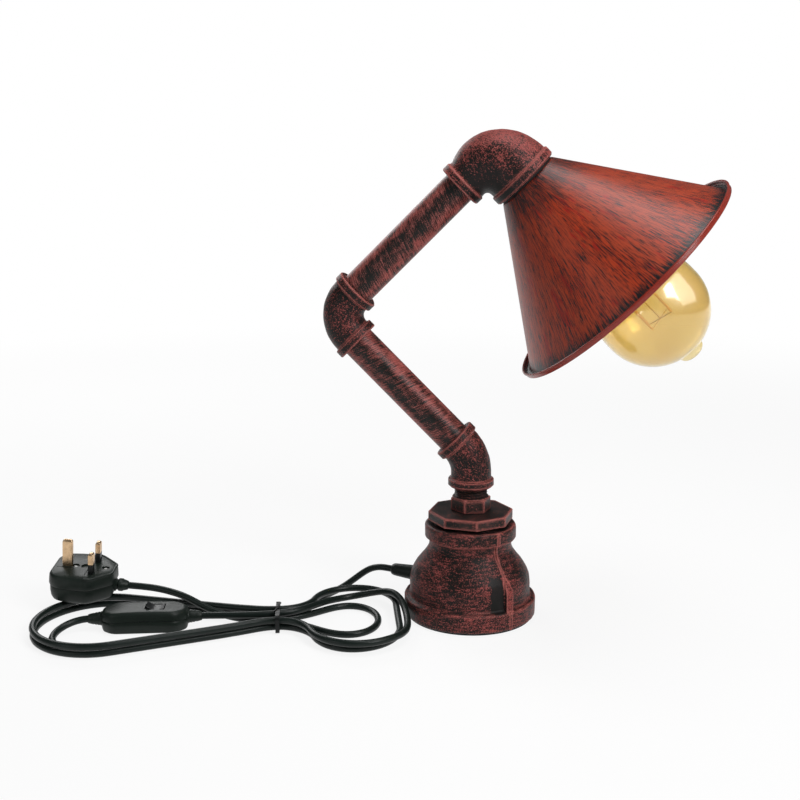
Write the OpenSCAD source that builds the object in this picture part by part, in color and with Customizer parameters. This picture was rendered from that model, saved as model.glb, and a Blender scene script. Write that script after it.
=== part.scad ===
// Industrial pipe table lamp: a foot made of a reducing socket, a jointed arm of threaded pipe
// and elbows, a cone shade with a globe bulb, and a corded switch and three-pin plug.
// Millimetres, +Z up. The origin is the centre of the foot's underside, on the table.
// The arm lies in the XZ plane: the lower pipe leans to -X and the shade looks to +X and down.

/* [Foot] */
// Thickness of the pad under the foot
pad_t = 1.5; // [1:0.25:3]
// Radius of the foot's lower band
foot_band_r = 53.7; // [52:0.1:60]
// Height of the foot's lower band
foot_band_h = 15; // [12:0.5:20]
// Radius of the foot's bulge
foot_bulge_r = 49; // [47:0.1:51]
// Height of the straight part of the bulge
foot_bulge_h = 20; // [18:0.5:26]
// Height of the flare from the bulge to the neck
foot_flare_h = 21; // [18:0.5:28]
// Radius of the foot's neck
foot_neck_r = 33.3; // [33:0.1:35]
// Height of the neck
foot_neck_h = 7.5; // [6:0.5:12]
// Radius of the foot's upper band
foot_top_r = 37; // [36.2:0.1:40]
// Height of the foot's upper band
foot_top_h = 12; // [10:0.5:16]
// Radius of the bore that the closing plate sits in
plate_seat_r = 44; // [43:0.1:45]
// Thickness of the closing plate
plate_t = 8; // [5:0.5:10]
// Angle of the moulding ribs, from +X
rib_angle = -49; // [-70:1:-20]
// Width of a moulding rib
rib_w = 6.5; // [4:0.5:9]
// How far a rib stands out of the bulge
rib_out = 3; // [2:0.25:4]

/* [Bushing and nipple] */
// Radius of the bushing's thread in the foot
bushing_thread_r = 29.6; // [28:0.1:30]
// Radius of the bushing's octagon across its corners
bushing_corner_r = 34.5; // [33:0.1:36]
// Thickness of the octagon
bushing_t = 8.4; // [6:0.2:12]
// Gap between the foot and the octagon
bushing_gap = 2; // [1:0.25:4]
// Turn of the octagon about its axis
bushing_turn = 11.5; // [0:0.5:45]
// Radius of the hex nipple across its corners
hex_corner_r = 16.3; // [15.5:0.1:18]
// Thickness of the hexagon
hex_t = 11; // [8:0.5:14]
// Thread that shows between the hexagon and the elbow
nipple_show = 9; // [6:0.5:12]

/* [Pipes] */
// Radius of the pipe, three-quarter inch size
pipe_r = 13.45; // [13:0.05:14]
// Radius of the way through the pipe
pipe_bore_r = 10.6; // [9:0.1:11]
// Length of lower pipe that shows between its elbows
lower_pipe_show = 108; // [60:1:160]
// Length of upper pipe that shows between its elbows
upper_pipe_show = 112; // [60:1:160]
// Depth that a pipe goes into a fitting
thread_depth = 14; // [10:0.5:15]

/* [Elbows] */
// Radius of an elbow's body
elbow_r = 16.2; // [15.5:0.1:17.5]
// Radius of an elbow's end band
elbow_band_r = 18.4; // [18:0.1:20]
// Thickness of an elbow's end band
elbow_band_t = 6.6; // [5:0.2:9]
// Bend radius of the 45 degree elbow
bend45_r = 33; // [28:0.5:34]
// Vertex of the 45 degree elbow to its lower face
reach45_low = 25; // [24:0.5:30]
// Vertex of the 45 degree elbow to its upper face
reach45_up = 20.5; // [20.5:0.5:26]
// Bend radius of the 90 degree elbow
bend90_r = 22; // [20:0.5:23]
// Vertex of the 90 degree elbow to each face
reach90 = 30; // [30:0.5:34]

/* [Shade elbow] */
// Radius of the shade elbow's body at the shade
mouth_body_r = 26.5; // [26:0.1:27.5]
// Radius of the shade elbow's large band
mouth_band_r = 28; // [27.8:0.1:30]
// Thickness of the large band
mouth_band_t = 7.2; // [6:0.2:9]
// Vertex of the shade elbow to its pipe face
reach_pipe = 39.8; // [39.5:0.1:44]
// Vertex of the shade elbow to its mouth
reach_mouth = 31.5; // [31:0.1:36]
// Radius of the shade elbow's mouth bore
mouth_bore_r = 20.5; // [19.5:0.1:22]
// Gap from the inner corner's pivot to the body
crotch = 4; // [3.5:0.1:5]
// Extra fullness of the elbow's back
back_bulge = 1.5; // [0:0.1:2]

/* [Shade] */
// Turn of the head about the upper pipe, away from straight
head_turn = 4; // [-10:0.5:10]
// Radius of the shade's top
shade_top_r = 26.3; // [25:0.1:28]
// Radius of the cone's lower end
shade_cone_r = 100; // [80:0.5:110]
// Height of the cone
shade_h = 109; // [90:0.5:120]
// Thickness of the sheet
sheet_t = 0.8; // [0.8:0.1:1.5]
// Width of the rim's gutter
gutter_w = 5.2; // [4:0.2:8]
// Height of the rim's lip
lip_h = 3.4; // [2.6:0.2:6]
// Radius of the bead along the lip
bead_r = 1.1; // [0.9:0.1:1.5]
// Thickness of the washer between elbow and shade
washer_t = 1.6; // [1:0.1:2.5]

/* [Lampholder] */
// Radius of the hollow threaded rod
rod_r = 5; // [4.8:0.1:5.5]
// Radius of the way through the rod
rod_bore_r = 3.7; // [3:0.1:3.9]
// Radius of the lampholder's skirt
holder_r = 20; // [19:0.1:22]
// Wall of the lampholder's shells
holder_wall = 1.8; // [1.4:0.1:2.4]
// Height of the lampholder's cap
holder_cap_h = 34; // [28:0.5:36]
// Length of the lampholder's skirt
holder_skirt_h = 36; // [32:0.5:42]
// Outer radius of the bulb's screw cap
cap_r = 13.2; // [13:0.05:13.2]

/* [Bulb] */
// Radius of the glass globe
globe_r = 44; // [30:0.5:45]
// Length of the bulb from its contact to the end of the globe
bulb_len = 138; // [128:0.5:141]
// Radius of the glass neck
neck_r = 16.5; // [14:0.5:18]
// Thickness of the glass
glass_t = 1; // [0.8:0.1:1.4]
// How far the pip stands out
pip_h = 7.2; // [6:0.2:12]
// Radius of the pip's root
pip_r = 12; // [7:0.5:13]

/* [Cord] */
// Radius of the cord
cord_r = 2.8; // [2.6:0.05:2.85]
// Length of the strain relief outside the foot
relief_len = 22; // [20:0.5:24]
// Direction of the cord where it leaves the foot
relief_angle = 160; // [160:1:160]
// Height of the cord where it leaves the foot
relief_z = 25; // [25:1:25]
// Thickness of the tie
tie_t = 0.8; // [0.6:0.1:0.9]
// Width of the tie
tie_w = 4; // [3:0.5:6]

/* [Switch] */
// Length of the switch
switch_l = 68; // [64:1:68]
// Width of the switch
switch_w = 28; // [24:0.5:28]
// Height of the switch
switch_h = 18; // [17:0.5:20]
// Length of the rocker
rocker_l = 15; // [12:0.5:18]
// Width of the rocker
rocker_w = 11; // [9:0.5:14]

/* [Plug] */
// Width of the plug
plug_w = 50; // [48:0.5:52]
// Height of the plug without its pins
plug_h = 24; // [22:0.5:26]
// Pitch of the line and neutral pins
pin_pitch = 22.2; // [22.2:0.1:22.2]
// Length of the line and neutral pins
pin_len = 17.7; // [17.7:0.1:17.7]
// Length of the earth pin
earth_len = 22.7; // [22.7:0.1:22.7]

/* [Hidden] */
$fn = 64;
fit = 0.05;          // radial clearance of a thread in its fitting
seat_gap = 0.3;      // clearance between pieces of different bodies
flex_r = 2.8;        // inner flex
bush_t = 14;         // length of the bush in the shade elbow

// Heights of the foot, from the table up
band_z = pad_t + foot_band_h;
bulge_z = band_z + foot_bulge_h;
flare_z = bulge_z + foot_flare_h;
neck_z = flare_z + foot_neck_h;
foot_z = neck_z + foot_top_h;
octagon_z = foot_z + bushing_gap;
hex_z = octagon_z + bushing_t;
nipple_z = hex_z + hex_t;
elbow_face_z = nipple_z + nipple_show;
vertex_z = elbow_face_z + reach45_low;

// Runs of the arm between the vertices of its elbows
lower_run = reach45_up + lower_pipe_show + reach90;
upper_run = reach90 + upper_pipe_show + reach_pipe;

// Stations along the shade's axis, from the shade elbow's vertex
washer_s = reach_mouth;
shade_s = washer_s + washer_t;
rim_s = shade_s + shade_h;
holder_s = shade_s + sheet_t;
skirt_s = holder_s + holder_cap_h - 4;
insert_s = holder_s + holder_cap_h;
shell_s = insert_s + 8;
contact_s = shell_s + 4.5;
globe_end_s = contact_s + bulb_len;
globe_s = globe_end_s - globe_r;
shell_r = cap_r + seat_gap;

// ---- placing ----
module at_lower() { translate([0, 0, vertex_z]) rotate([0, -45, 0]) children(); }
module at_middle() { at_lower() translate([0, 0, lower_run]) children(); }
module at_upper() { at_middle() rotate([0, 90, 0]) children(); }
module at_head() { at_upper() translate([0, 0, upper_run]) rotate([0, 0, head_turn]) children(); }
module at_shade() { at_head() rotate([0, 90, 0]) children(); }

// ---- shared shapes ----
module rod(r, z1, z2) { translate([0, 0, z1]) cylinder(r = r, h = z2 - z1); }
module ring(r_out, r_in, z1, z2) {
    difference() {
        rod(r_out, z1, z2);
        rod(r_in, z1 - 1, z2 + 1);
    }
}
// Band with a bevel on the side of its face, between z1 and z2, face at z2
module band(r, z1, z2, bevel) {
    rotate_extrude() polygon([
        [0, z1], [r - 0.5, z1], [r, z1 + 0.5], [r, z2 - bevel], [r - bevel, z2], [0, z2]]);
}
// A bend of round section from (0, 0, -t) that turns towards -X, about the vertex at the origin
module bend(bend_r, r, angle) {
    translate([-bend_r, 0, -bend_r * tan(angle / 2)])
        rotate([90, 0, 0])
            rotate_extrude(angle = angle) translate([bend_r, 0]) circle(r = r);
}
// Solid through rings of points, each ring with the same number of points, turning the same way
module loft(rings) {
    n = len(rings[0]);
    m = len(rings);
    pts = [for (ring = rings) each ring];
    sides = [for (i = [0 : m - 2], j = [0 : n - 1])
        each [[i * n + j, (i + 1) * n + j, (i + 1) * n + (j + 1) % n],
              [i * n + j, (i + 1) * n + (j + 1) % n, i * n + (j + 1) % n]]];
    first = [for (j = [1 : n - 2]) [0, j, j + 1]];
    last = [for (j = [1 : n - 2]) [(m - 1) * n, (m - 1) * n + j + 1, (m - 1) * n + j]];
    polyhedron(points = pts, faces = concat(sides, first, last));
}
function unit(v) = v / norm(v);
// Rings of a tube along points; each ring stands square to the way from the point before to the one after.
// The tube never runs along the vector called upright
function tube_rings(p, r, sides, upright) = [for (i = [0 : len(p) - 1])
    let (d = unit(p[min(i + 1, len(p) - 1)] - p[max(i - 1, 0)]),
         across = unit(cross(upright, d)),
         up = cross(d, across))
    [for (j = [0 : sides - 1]) let (a = 360 * (j + 0.5) / sides) p[i] + r * (cos(a) * across - sin(a) * up)]];
module tube(p, r, sides, upright = [0, 0, 1]) { loft(tube_rings(p, r, sides, upright)); }
function bspline_at(a, b, c, d, t) = (pow(1 - t, 3) * a + (3 * pow(t, 3) - 6 * t * t + 4) * b
    + (-3 * pow(t, 3) + 3 * t * t + 3 * t + 1) * c + pow(t, 3) * d) / 6;
// Smooth curve that starts and ends at the first and last point of a route
function smooth_route(q, steps) = let (
    n = len(q),
    p = concat([2 * q[0] - q[1]], q, [2 * q[n - 1] - q[n - 2]]))
    concat([for (i = [0 : n - 2], k = [0 : steps - 1])
        bspline_at(p[i], p[i + 1], p[i + 2], p[i + 3], k / steps)], [q[n - 1]]);

// ---- foot ----
// Outline of the foot above its lower band, at a distance outside it
function foot_side(grow) = [
    [foot_bulge_r + grow, bulge_z - 4], [foot_bulge_r - 1 + grow, bulge_z],
    [foot_bulge_r - 3.6 + grow, bulge_z + 4], [foot_neck_r + 2.6 + grow, flare_z - 4],
    [foot_neck_r + 0.6 + grow, flare_z - 1], [foot_neck_r + grow, flare_z + 1.5],
    [foot_neck_r + grow, neck_z - 0.6], [foot_top_r - 1 + grow, neck_z], [foot_top_r + grow, neck_z + 1]];
seam_t = 1.2;
foot_wall = 6;
gland_r = 5.2;
module foot_ribs() {
    for (side = [0, 180]) rotate([0, 0, rib_angle + side]) {
        translate([foot_bulge_r - 6, -rib_w / 2, band_z - 2])
            cube([6 + rib_out, rib_w, foot_bulge_h + 3]);
        intersection() {
            rotate_extrude() polygon(concat(
                [[0, band_z - 3], [foot_bulge_r + 0.7, band_z - 3]], foot_side(0.7),
                [[foot_top_r + 0.7, foot_z - 2], [0, foot_z - 2]]));
            translate([0, -seam_t / 2, band_z - 4]) cube([foot_band_r, seam_t, foot_z - band_z]);
        }
    }
}
module foot_socket() {
    color("indianred") difference() {
        union() {
            rotate_extrude($fn = 96) polygon(concat(
                [[0, pad_t], [foot_band_r - 1, pad_t], [foot_band_r, pad_t + 1],
                [foot_band_r, band_z - 1.2], [foot_band_r - 1.2, band_z], [foot_bulge_r, band_z + 0.6]],
                foot_side(0), [[foot_top_r, foot_z - 1.4], [foot_top_r - 1.4, foot_z], [0, foot_z]]));
            foot_ribs();
        }
        rod(plate_seat_r, pad_t - 1, pad_t + plate_t);
        rotate_extrude() polygon([
            [0, pad_t + plate_t - 0.01], [plate_seat_r - 1.5, pad_t + plate_t - 0.01],
            [foot_bulge_r - foot_wall, bulge_z - 4], [foot_neck_r - foot_wall, flare_z - 2],
            [foot_neck_r - foot_wall, flare_z], [0, flare_z]]);
        rod(bushing_thread_r + fit, flare_z - 0.01, foot_z + 1);
        at_relief() cylinder(r = gland_r + fit, h = 70);
    }
}
module foot_pad() { color("black") rod(foot_band_r - 2.2, 0, pad_t); }
module foot_plate() { color("dimgray") rod(plate_seat_r - fit, pad_t, pad_t + plate_t); }

// ---- bushing and nipple ----
nipple_r = pipe_r - 0.2;
nipple_bore_r = 9;
nipple_low_z = hex_z - thread_depth;
module octagon_bushing() {
    color("saddlebrown") difference() {
        union() {
            rod(bushing_thread_r, flare_z + 1, octagon_z + 1);
            rotate([0, 0, bushing_turn]) translate([0, 0, octagon_z])
                cylinder(r = bushing_corner_r, h = bushing_t, $fn = 8);
        }
        rod(nipple_r + fit, nipple_low_z - 0.5, hex_z + 1);
        rod(nipple_bore_r + 1, flare_z, nipple_low_z);
    }
}
module hex_nipple() {
    color("dimgray") difference() {
        union() {
            rod(nipple_r, nipple_low_z, elbow_face_z + thread_depth - 0.5);
            translate([0, 0, hex_z]) rotate([0, 0, 15]) cylinder(r = hex_corner_r, h = hex_t, $fn = 6);
        }
        rod(nipple_bore_r, nipple_low_z - 1, elbow_face_z + thread_depth);
    }
}

// ---- arm ----
tangent45 = bend45_r * tan(22.5);
way_r = 11;
module lower_elbow() {
    color("indianred") translate([0, 0, vertex_z]) difference() {
        union() {
            bend(bend45_r, elbow_r, 45);
            rod(elbow_r, elbow_band_t - reach45_low - 1, -tangent45);
            rotate([0, -45, 0]) rod(elbow_r, tangent45, reach45_up - elbow_band_t + 1);
            rod(elbow_r - 0.4, -tangent45 - 2, -tangent45 + 2);
            rotate([0, -45, 0]) rod(elbow_r - 0.4, tangent45 - 2, reach45_up - elbow_band_t + 0.5);
            mirror([0, 0, 1]) band(elbow_band_r, reach45_low - elbow_band_t, reach45_low, 1.6);
            rotate([0, -45, 0]) band(elbow_band_r, reach45_up - elbow_band_t, reach45_up, 0.8);
        }
        bend(bend45_r, way_r, 45);
        rod(nipple_r + fit, -reach45_low - 1, thread_depth - reach45_low);
        rod(way_r, -reach45_low, -tangent45);
        rotate([0, -45, 0]) rod(pipe_r + fit, reach45_up - thread_depth, reach45_up + 1);
        rotate([0, -45, 0]) rod(way_r, tangent45 - 8, reach45_up);
    }
}
module lower_pipe() {
    color("firebrick") at_lower()
        ring(pipe_r, pipe_bore_r, reach45_up - thread_depth + 8, lower_run - reach90 + thread_depth);
}
module middle_elbow() {
    color("indianred") at_middle() mirror([1, 0, 0]) difference() {
        union() {
            bend(bend90_r, elbow_r, 90);
            rod(elbow_r, elbow_band_t - reach90 - 1, -bend90_r);
            rotate([0, -90, 0]) rod(elbow_r, bend90_r, reach90 - elbow_band_t + 1);
            mirror([0, 0, 1]) band(elbow_band_r, reach90 - elbow_band_t, reach90, 0.8);
            rotate([0, -90, 0]) band(elbow_band_r, reach90 - elbow_band_t, reach90, 0.8);
        }
        bend(bend90_r, way_r, 90);
        rod(pipe_r + fit, -reach90 - 1, thread_depth - reach90 + 0.5);
        rotate([0, -90, 0]) rod(pipe_r + fit, reach90 - thread_depth - 0.5, reach90 + 1);
    }
}
module upper_pipe() {
    color("firebrick") at_upper()
        ring(pipe_r, pipe_bore_r, reach90 - thread_depth, upper_run - reach_pipe + thread_depth);
}

// Shade elbow: its sections turn about a pivot line at the inner corner and grow towards the mouth
fan_steps = 12;
fan_sides = 32;
pivot_x = crotch + elbow_r + 1.2;
pivot_z = -(crotch + mouth_body_r);
function fan_radius(a) = (elbow_r + 1.2) + (mouth_body_r - elbow_r - 1.2) * a / 90 + back_bulge * sin(2 * a);
function fan_ring(a) = let (r = fan_radius(a))
    [for (j = [0 : fan_sides - 1]) let (b = 360 * j / fan_sides, out = crotch + r + r * cos(b))
        [pivot_x - out * cos(a), -r * sin(b), pivot_z + out * sin(a)]];
module upper_elbow() {
    color("indianred") at_head() difference() {
        union() {
            loft([for (i = [0 : fan_steps]) fan_ring(90 * i / fan_steps)]);
            rod(elbow_r + 1.4, elbow_band_t - reach_pipe - 1, pivot_z + 0.2);
            rotate([0, 90, 0]) rod(mouth_body_r + 0.2, pivot_x - 0.2, reach_mouth - mouth_band_t + 1);
            mirror([0, 0, 1]) band(elbow_band_r + 0.2, reach_pipe - elbow_band_t, reach_pipe, 0.8);
            rotate([0, 90, 0]) band(mouth_band_r, reach_mouth - mouth_band_t, reach_mouth, 1.2);
        }
        rod(pipe_r + fit, -reach_pipe - 1, thread_depth - reach_pipe + 0.5);
        rod(way_r, -reach_pipe, 2);
        translate([6, 0, 0]) sphere(r = mouth_bore_r - 3);
        rotate([0, 90, 0]) rod(mouth_bore_r - 3.5, 6, reach_mouth);
        rotate([0, 90, 0]) rod(mouth_bore_r, reach_mouth - bush_t - 1, reach_mouth + 1);
    }
}
module mouth_bush() {
    color("darkgoldenrod") at_shade()
        ring(mouth_bore_r - fit, rod_r + fit, reach_mouth - bush_t, reach_mouth);
}
rod_top_s = reach_mouth - bush_t - 5;
module hollow_rod() { color("goldenrod") at_shade() ring(rod_r, rod_bore_r, rod_top_s, holder_s + 9); }
module rod_nut() {
    color("silver") at_shade() difference() {
        translate([0, 0, reach_mouth - bush_t - 3.5]) cylinder(r = 8.5, h = 3.5, $fn = 6);
        rod(rod_r + fit, 0, reach_mouth);
    }
}

// ---- shade ----
module shade_washer() { color("black") at_shade() ring(shade_top_r - 1.6, rod_r + fit, washer_s, shade_s); }
module shade() {
    slope_t = sheet_t * norm([shade_h, shade_cone_r - shade_top_r]) / shade_h;
    lip_r = shade_cone_r + gutter_w;
    color("firebrick") at_shade() rotate_extrude($fn = 128) union() {
        polygon([[rod_r + fit, shade_s], [shade_top_r - 1.2, shade_s], [shade_top_r, shade_s + 1.2],
            [shade_cone_r, rim_s - sheet_t], [lip_r - sheet_t, rim_s - sheet_t],
            [lip_r - sheet_t, rim_s - lip_h], [lip_r, rim_s - lip_h], [lip_r, rim_s],
            [shade_cone_r - slope_t, rim_s], [shade_top_r - slope_t, shade_s + sheet_t + 1],
            [shade_top_r - slope_t - 1, shade_s + sheet_t], [rod_r + fit, shade_s + sheet_t]]);
        translate([lip_r - sheet_t / 2, rim_s - lip_h]) circle(r = bead_r);
    }
}

// ---- lampholder ----
module holder_cap() {
    h = holder_cap_h;
    w = holder_wall;
    r = holder_r;
    color("dimgray") at_shade() translate([0, 0, holder_s]) rotate_extrude() polygon([
        [rod_r + fit, 0], [9, 0], [9, 6], [12, 8], [r, 14], [r, h - 4], [r - w - fit, h - 4],
        [r - w - fit, h], [r - 2 * w, h], [r - 2 * w, 15], [11, 10], [rod_r + fit, 9]]);
}
module holder_skirt() {
    color("dimgray") at_shade() ring(holder_r, holder_r - holder_wall, skirt_s, skirt_s + holder_skirt_h);
}
module holder_insert() {
    color("ivory") at_shade() difference() {
        rod(holder_r - holder_wall - fit, insert_s, shell_s);
        for (a = [0, 120, 240]) rotate([0, 0, a]) translate([terminal_x, 0, 0])
            rod(terminal_r + fit, insert_s - 1, insert_s + 5);
    }
}
terminal_x = 10;
terminal_r = 1.5;
shell_t = 0.5;
module screw_shell() {
    color("goldenrod") at_shade() difference() {
        rod(shell_r + shell_t, shell_s, shell_s + 24);
        rod(shell_r, shell_s + shell_t, shell_s + 25);
        rod(6, shell_s - 1, shell_s + 2);
    }
}
module centre_contact() { color("goldenrod") at_shade() rod(4, shell_s, contact_s - seat_gap); }
module terminal_screws() {
    color("silver") at_shade() for (a = [0, 120, 240]) rotate([0, 0, a]) translate([terminal_x, 0, 0]) {
        rod(terminal_r, insert_s - 1, insert_s + 5);
        rod(2.6, insert_s - 3, insert_s - 1 + 0.01);
    }
}
// Three cores from the flex's end to the terminal screws
cores_s = holder_s + 11;
core_rise = insert_s - 3 - cores_s;
module holder_cores() {
    color("saddlebrown") at_shade() for (a = [0, 120, 240]) rotate([0, 0, a])
        tube([[1.4, 0, cores_s], [1.4, 0, cores_s + 1], [2.4, 0, cores_s + 0.4 * core_rise],
            [terminal_x - 3, 0, cores_s + 0.7 * core_rise], [terminal_x - 1, 0, cores_s + 0.88 * core_rise],
            [terminal_x - 0.5, 0, cores_s + core_rise - 0.6]], 1, 8, [0, 1, 0]);
}

// ---- bulb ----
bulb_neck_s = contact_s + 26;
// Half a globe, and the shoulder behind it that runs down to the neck
function globe_profile(r, end) = let (c = end - r) concat(
    [for (a = [0 : 7.5 : 90]) [r * sin(a), c + r * cos(a)]],
    [[r * 0.985, c - r * 0.27], [r * 0.9, c - r * 0.55]]);
function shoulder(t) = [[neck_r + 10 - t, bulb_neck_s + 22], [neck_r + 4 - t, bulb_neck_s + 12],
    [neck_r + 1 - t, bulb_neck_s + 6], [neck_r - t, bulb_neck_s]];
module bulb_glass() {
    t = glass_t;
    pip_s = globe_end_s - 1.6;
    outer = concat([[0, pip_s + pip_h], [pip_r * 0.45, pip_s + pip_h - 0.6],
        [pip_r * 0.8, pip_s + pip_h * 0.6], [pip_r * 0.92, pip_s + pip_h * 0.28]],
        [for (p = globe_profile(globe_r, globe_end_s)) if (p[0] > pip_r) p], shoulder(0));
    inside = concat(globe_profile(globe_r - t, globe_end_s - t), shoulder(t));
    inner = [for (i = [len(inside) - 1 : -1 : 0]) inside[i]];
    color("khaki") at_shade() rotate_extrude($fn = 96) polygon(concat(outer, inner));
}
stem_h = 30;
module bulb_stem() {
    color("lightyellow") at_shade() rotate_extrude() polygon([[0, bulb_neck_s], [neck_r - glass_t, bulb_neck_s],
        [neck_r - glass_t - 1, bulb_neck_s + 1.5], [5, bulb_neck_s + 6], [3.4, bulb_neck_s + stem_h - 6],
        [2, bulb_neck_s + stem_h], [0, bulb_neck_s + stem_h]]);
}
// Four upright filaments on two wire rings
filament_r = 14;
filament_s = bulb_neck_s + stem_h - 6;
filament_h = 52;
module bulb_filaments() {
    color("orange") at_shade() for (a = [45 : 90 : 315]) rotate([0, 0, a]) translate([filament_r, 0, 0])
        rod(0.9, filament_s, filament_s + filament_h);
}
module bulb_supports() {
    color("silver") at_shade() {
        rod(0.6, bulb_neck_s + stem_h, filament_s + filament_h + 1);
        for (a = [45 : 90 : 315]) rotate([0, 0, a]) {
            translate([0, 0, filament_s + filament_h + 0.5]) rotate([0, 90, 0]) rod(0.5, 0, filament_r + 0.5);
            translate([0, 0, filament_s - 0.5]) rotate([0, 90, 0]) rod(0.5, 3.55, filament_r + 0.5);
        }
    }
}
module bulb_cap() {
    color("goldenrod") at_shade() rotate_extrude() polygon([[5.5, contact_s + 1.5], [9, contact_s + 2.5],
        [cap_r - 0.8, contact_s + 5], [cap_r, contact_s + 6], [cap_r, contact_s + 22],
        [neck_r - 1, contact_s + 24], [neck_r - 1, bulb_neck_s], [neck_r - 2, bulb_neck_s],
        [cap_r - 0.6, contact_s + 22], [cap_r - 1.2, contact_s + 6], [5.5, contact_s + 2.5]]);
}
module bulb_insulator() { color("black") at_shade() ring(5.5, 3.5, contact_s + 0.8, contact_s + 4); }
module bulb_contact() { color("silver") at_shade() rod(3.5, contact_s, contact_s + 4); }

// ---- flex inside the arm ----
// Directions of the lower pipe, the upper pipe and the shade, and the arm's vertices
low_way = [-sin(45), 0, cos(45)];
up_way = [sin(45), 0, cos(45)];
head_way = [sin(45) * cos(head_turn), sin(head_turn), -cos(45) * cos(head_turn)];
middle_at = [0, 0, vertex_z] + lower_run * low_way;
head_at = middle_at + upper_run * up_way;
relief_inner = foot_bulge_r - foot_wall - 9;
// Points of a bend about a vertex, from the way it comes in to the way it goes out, a right angle apart
function corner(at, from, to, r) =
    [for (b = [0 : 22.5 : 90]) at + r * (to - from) + r * (sin(b) * from - cos(b) * to)];
module foot_flex() {
    color("dimgray") tube(smooth_route([relief_inner * [cos(relief_angle), sin(relief_angle), 0] + [0, 0, relief_z],
        [-24, 8.7, relief_z], [-10, 4, relief_z + 3], [-2, 0.5, relief_z + 14], [-0.6, 0.1, relief_z + 30],
        [-0.3, 0, relief_z + 50], [0, 0, elbow_face_z - 6], [0, 0, elbow_face_z]], 2), flex_r, 8, [0, 1, 0]);
}
module lower_flex() {
    color("dimgray") tube(concat([[0, 0, elbow_face_z + seat_gap]],
        [for (b = [0 : 11.25 : 45]) [-bend45_r * (1 - cos(b)), 0, vertex_z - tangent45 + bend45_r * sin(b)]],
        [middle_at - reach90 * low_way]), flex_r, 8, [0, 1, 0]);
}
module upper_flex() {
    color("dimgray") tube(concat([middle_at - reach90 * low_way], corner(middle_at, low_way, up_way, bend90_r),
        [head_at - reach_pipe * up_way]), flex_r, 8, [0, 1, 0]);
}
head_bend_r = 10;
module head_flex() {
    color("dimgray") tube(concat([head_at - reach_pipe * up_way], corner(head_at, up_way, head_way, head_bend_r),
        [head_at + cores_s * head_way]), flex_r, 8, [0, 1, 0]);
}

// ---- strain relief ----
relief_root = foot_bulge_r;
module at_relief() { rotate([0, 0, relief_angle]) translate([0, 0, relief_z]) rotate([0, 90, 0]) children(); }
module strain_relief() {
    color("black") at_relief() difference() {
        union() {
            rod(gland_r, relief_inner, relief_root);
            rotate_extrude() polygon([[0, relief_root], [6.4, relief_root], [6.2, relief_root + 3],
                [5.2, relief_root + relief_len - 3], [3.6, relief_root + relief_len],
                [0, relief_root + relief_len]]);
        }
        rod(cord_r + fit, 0, relief_root + relief_len - 3);
        rod(cord_r - 0.2, 0, relief_root + relief_len + 1);
    }
}
module relief_nut() {
    color("dimgray") at_relief() difference() {
        translate([0, 0, relief_inner + 0.6]) cylinder(r = 8, h = 3.4, $fn = 6);
        rod(gland_r + fit, 0, relief_root);
    }
}

// ---- cord ----
// The plug's frame: cord along +X, earth pin towards -X, pins up, cover's underside at z = 0
plug_at = [-318, -32, 14.1];
plug_lean = [6, 5, 6];
function turn_x(p, a) = [p[0], p[1] * cos(a) - p[2] * sin(a), p[1] * sin(a) + p[2] * cos(a)];
function turn_y(p, a) = [p[0] * cos(a) + p[2] * sin(a), p[1], -p[0] * sin(a) + p[2] * cos(a)];
function turn_z(p, a) = [p[0] * cos(a) - p[1] * sin(a), p[0] * sin(a) + p[1] * cos(a), p[2]];
function plug_point(p) = plug_at + turn_z(turn_y(turn_x(p, plug_lean[0]), plug_lean[1]), plug_lean[2]);
module at_plug() { translate(plug_at) rotate(plug_lean) children(); }
plug_tail_x = 27;
grip_l = 9;
grip_r = 5.6;
cord_z = 10;
// The hank's own frame: origin at its tie, first axis along it, second across it, third up
hank_at = [-150, -50];
hank_turn = 11;
function hank_place(p) = [hank_at[0] + p[0] * cos(hank_turn) - p[1] * sin(hank_turn),
    hank_at[1] + p[0] * sin(hank_turn) + p[1] * cos(hank_turn), p[2]];
// A loop runs through arcs and straights: from its right end to the waist, to the left end and back
strand_step = 6.3;
waist_half = 8.2;
right_waist_r = 32;
right_end_r = 33;
right_splay = 74;
left_waist_r = 60;
left_end_r = 48;
left_splay = 18;
right_rise = waist_half + right_waist_r * (1 - cos(right_splay));
right_flat = right_rise - right_end_r * cos(right_splay);
right_reach = right_waist_r * sin(right_splay) + right_end_r * (1 + sin(right_splay));
left_rise = waist_half + left_waist_r * (1 - cos(left_splay));
left_straight = (left_end_r * cos(left_splay) - left_rise) / sin(left_splay);
// Each stretch: number of rings, length or radius, turn in degrees
half_loop = [[1, right_flat, 0], [4, right_end_r, 90 + right_splay], [2, right_waist_r, -right_splay],
    [1, left_waist_r, -left_splay], [1, left_straight, 0], [3, left_end_r, 90 + left_splay]];
loop_stretches = concat(half_loop, [for (i = [len(half_loop) - 1 : -1 : 0]) half_loop[i]]);
loop_rings = 24;
function along(pose, stretch, f) = stretch[2] == 0
    ? [pose[0] + stretch[1] * f * cos(pose[2]), pose[1] + stretch[1] * f * sin(pose[2]), pose[2]]
    : let (s = sign(stretch[2]), h = pose[2] + stretch[2] * f, r = s * stretch[1])
      [pose[0] - r * sin(pose[2]) + r * sin(h), pose[1] + r * cos(pose[2]) - r * cos(h), h];
function loop_pose(j, i = 0, pose = [right_reach, 0, 90]) =
    let (s = loop_stretches[i])
    j <= s[0] || i == len(loop_stretches) - 1 ? along(pose, s, min(j / s[0], 1))
        : loop_pose(j - s[0], i + 1, along(pose, s, 1));
function ease(a, b, x) = let (t = max(0, min(1, (x - a) / (b - a)))) t * t * (3 - 2 * t);
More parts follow.
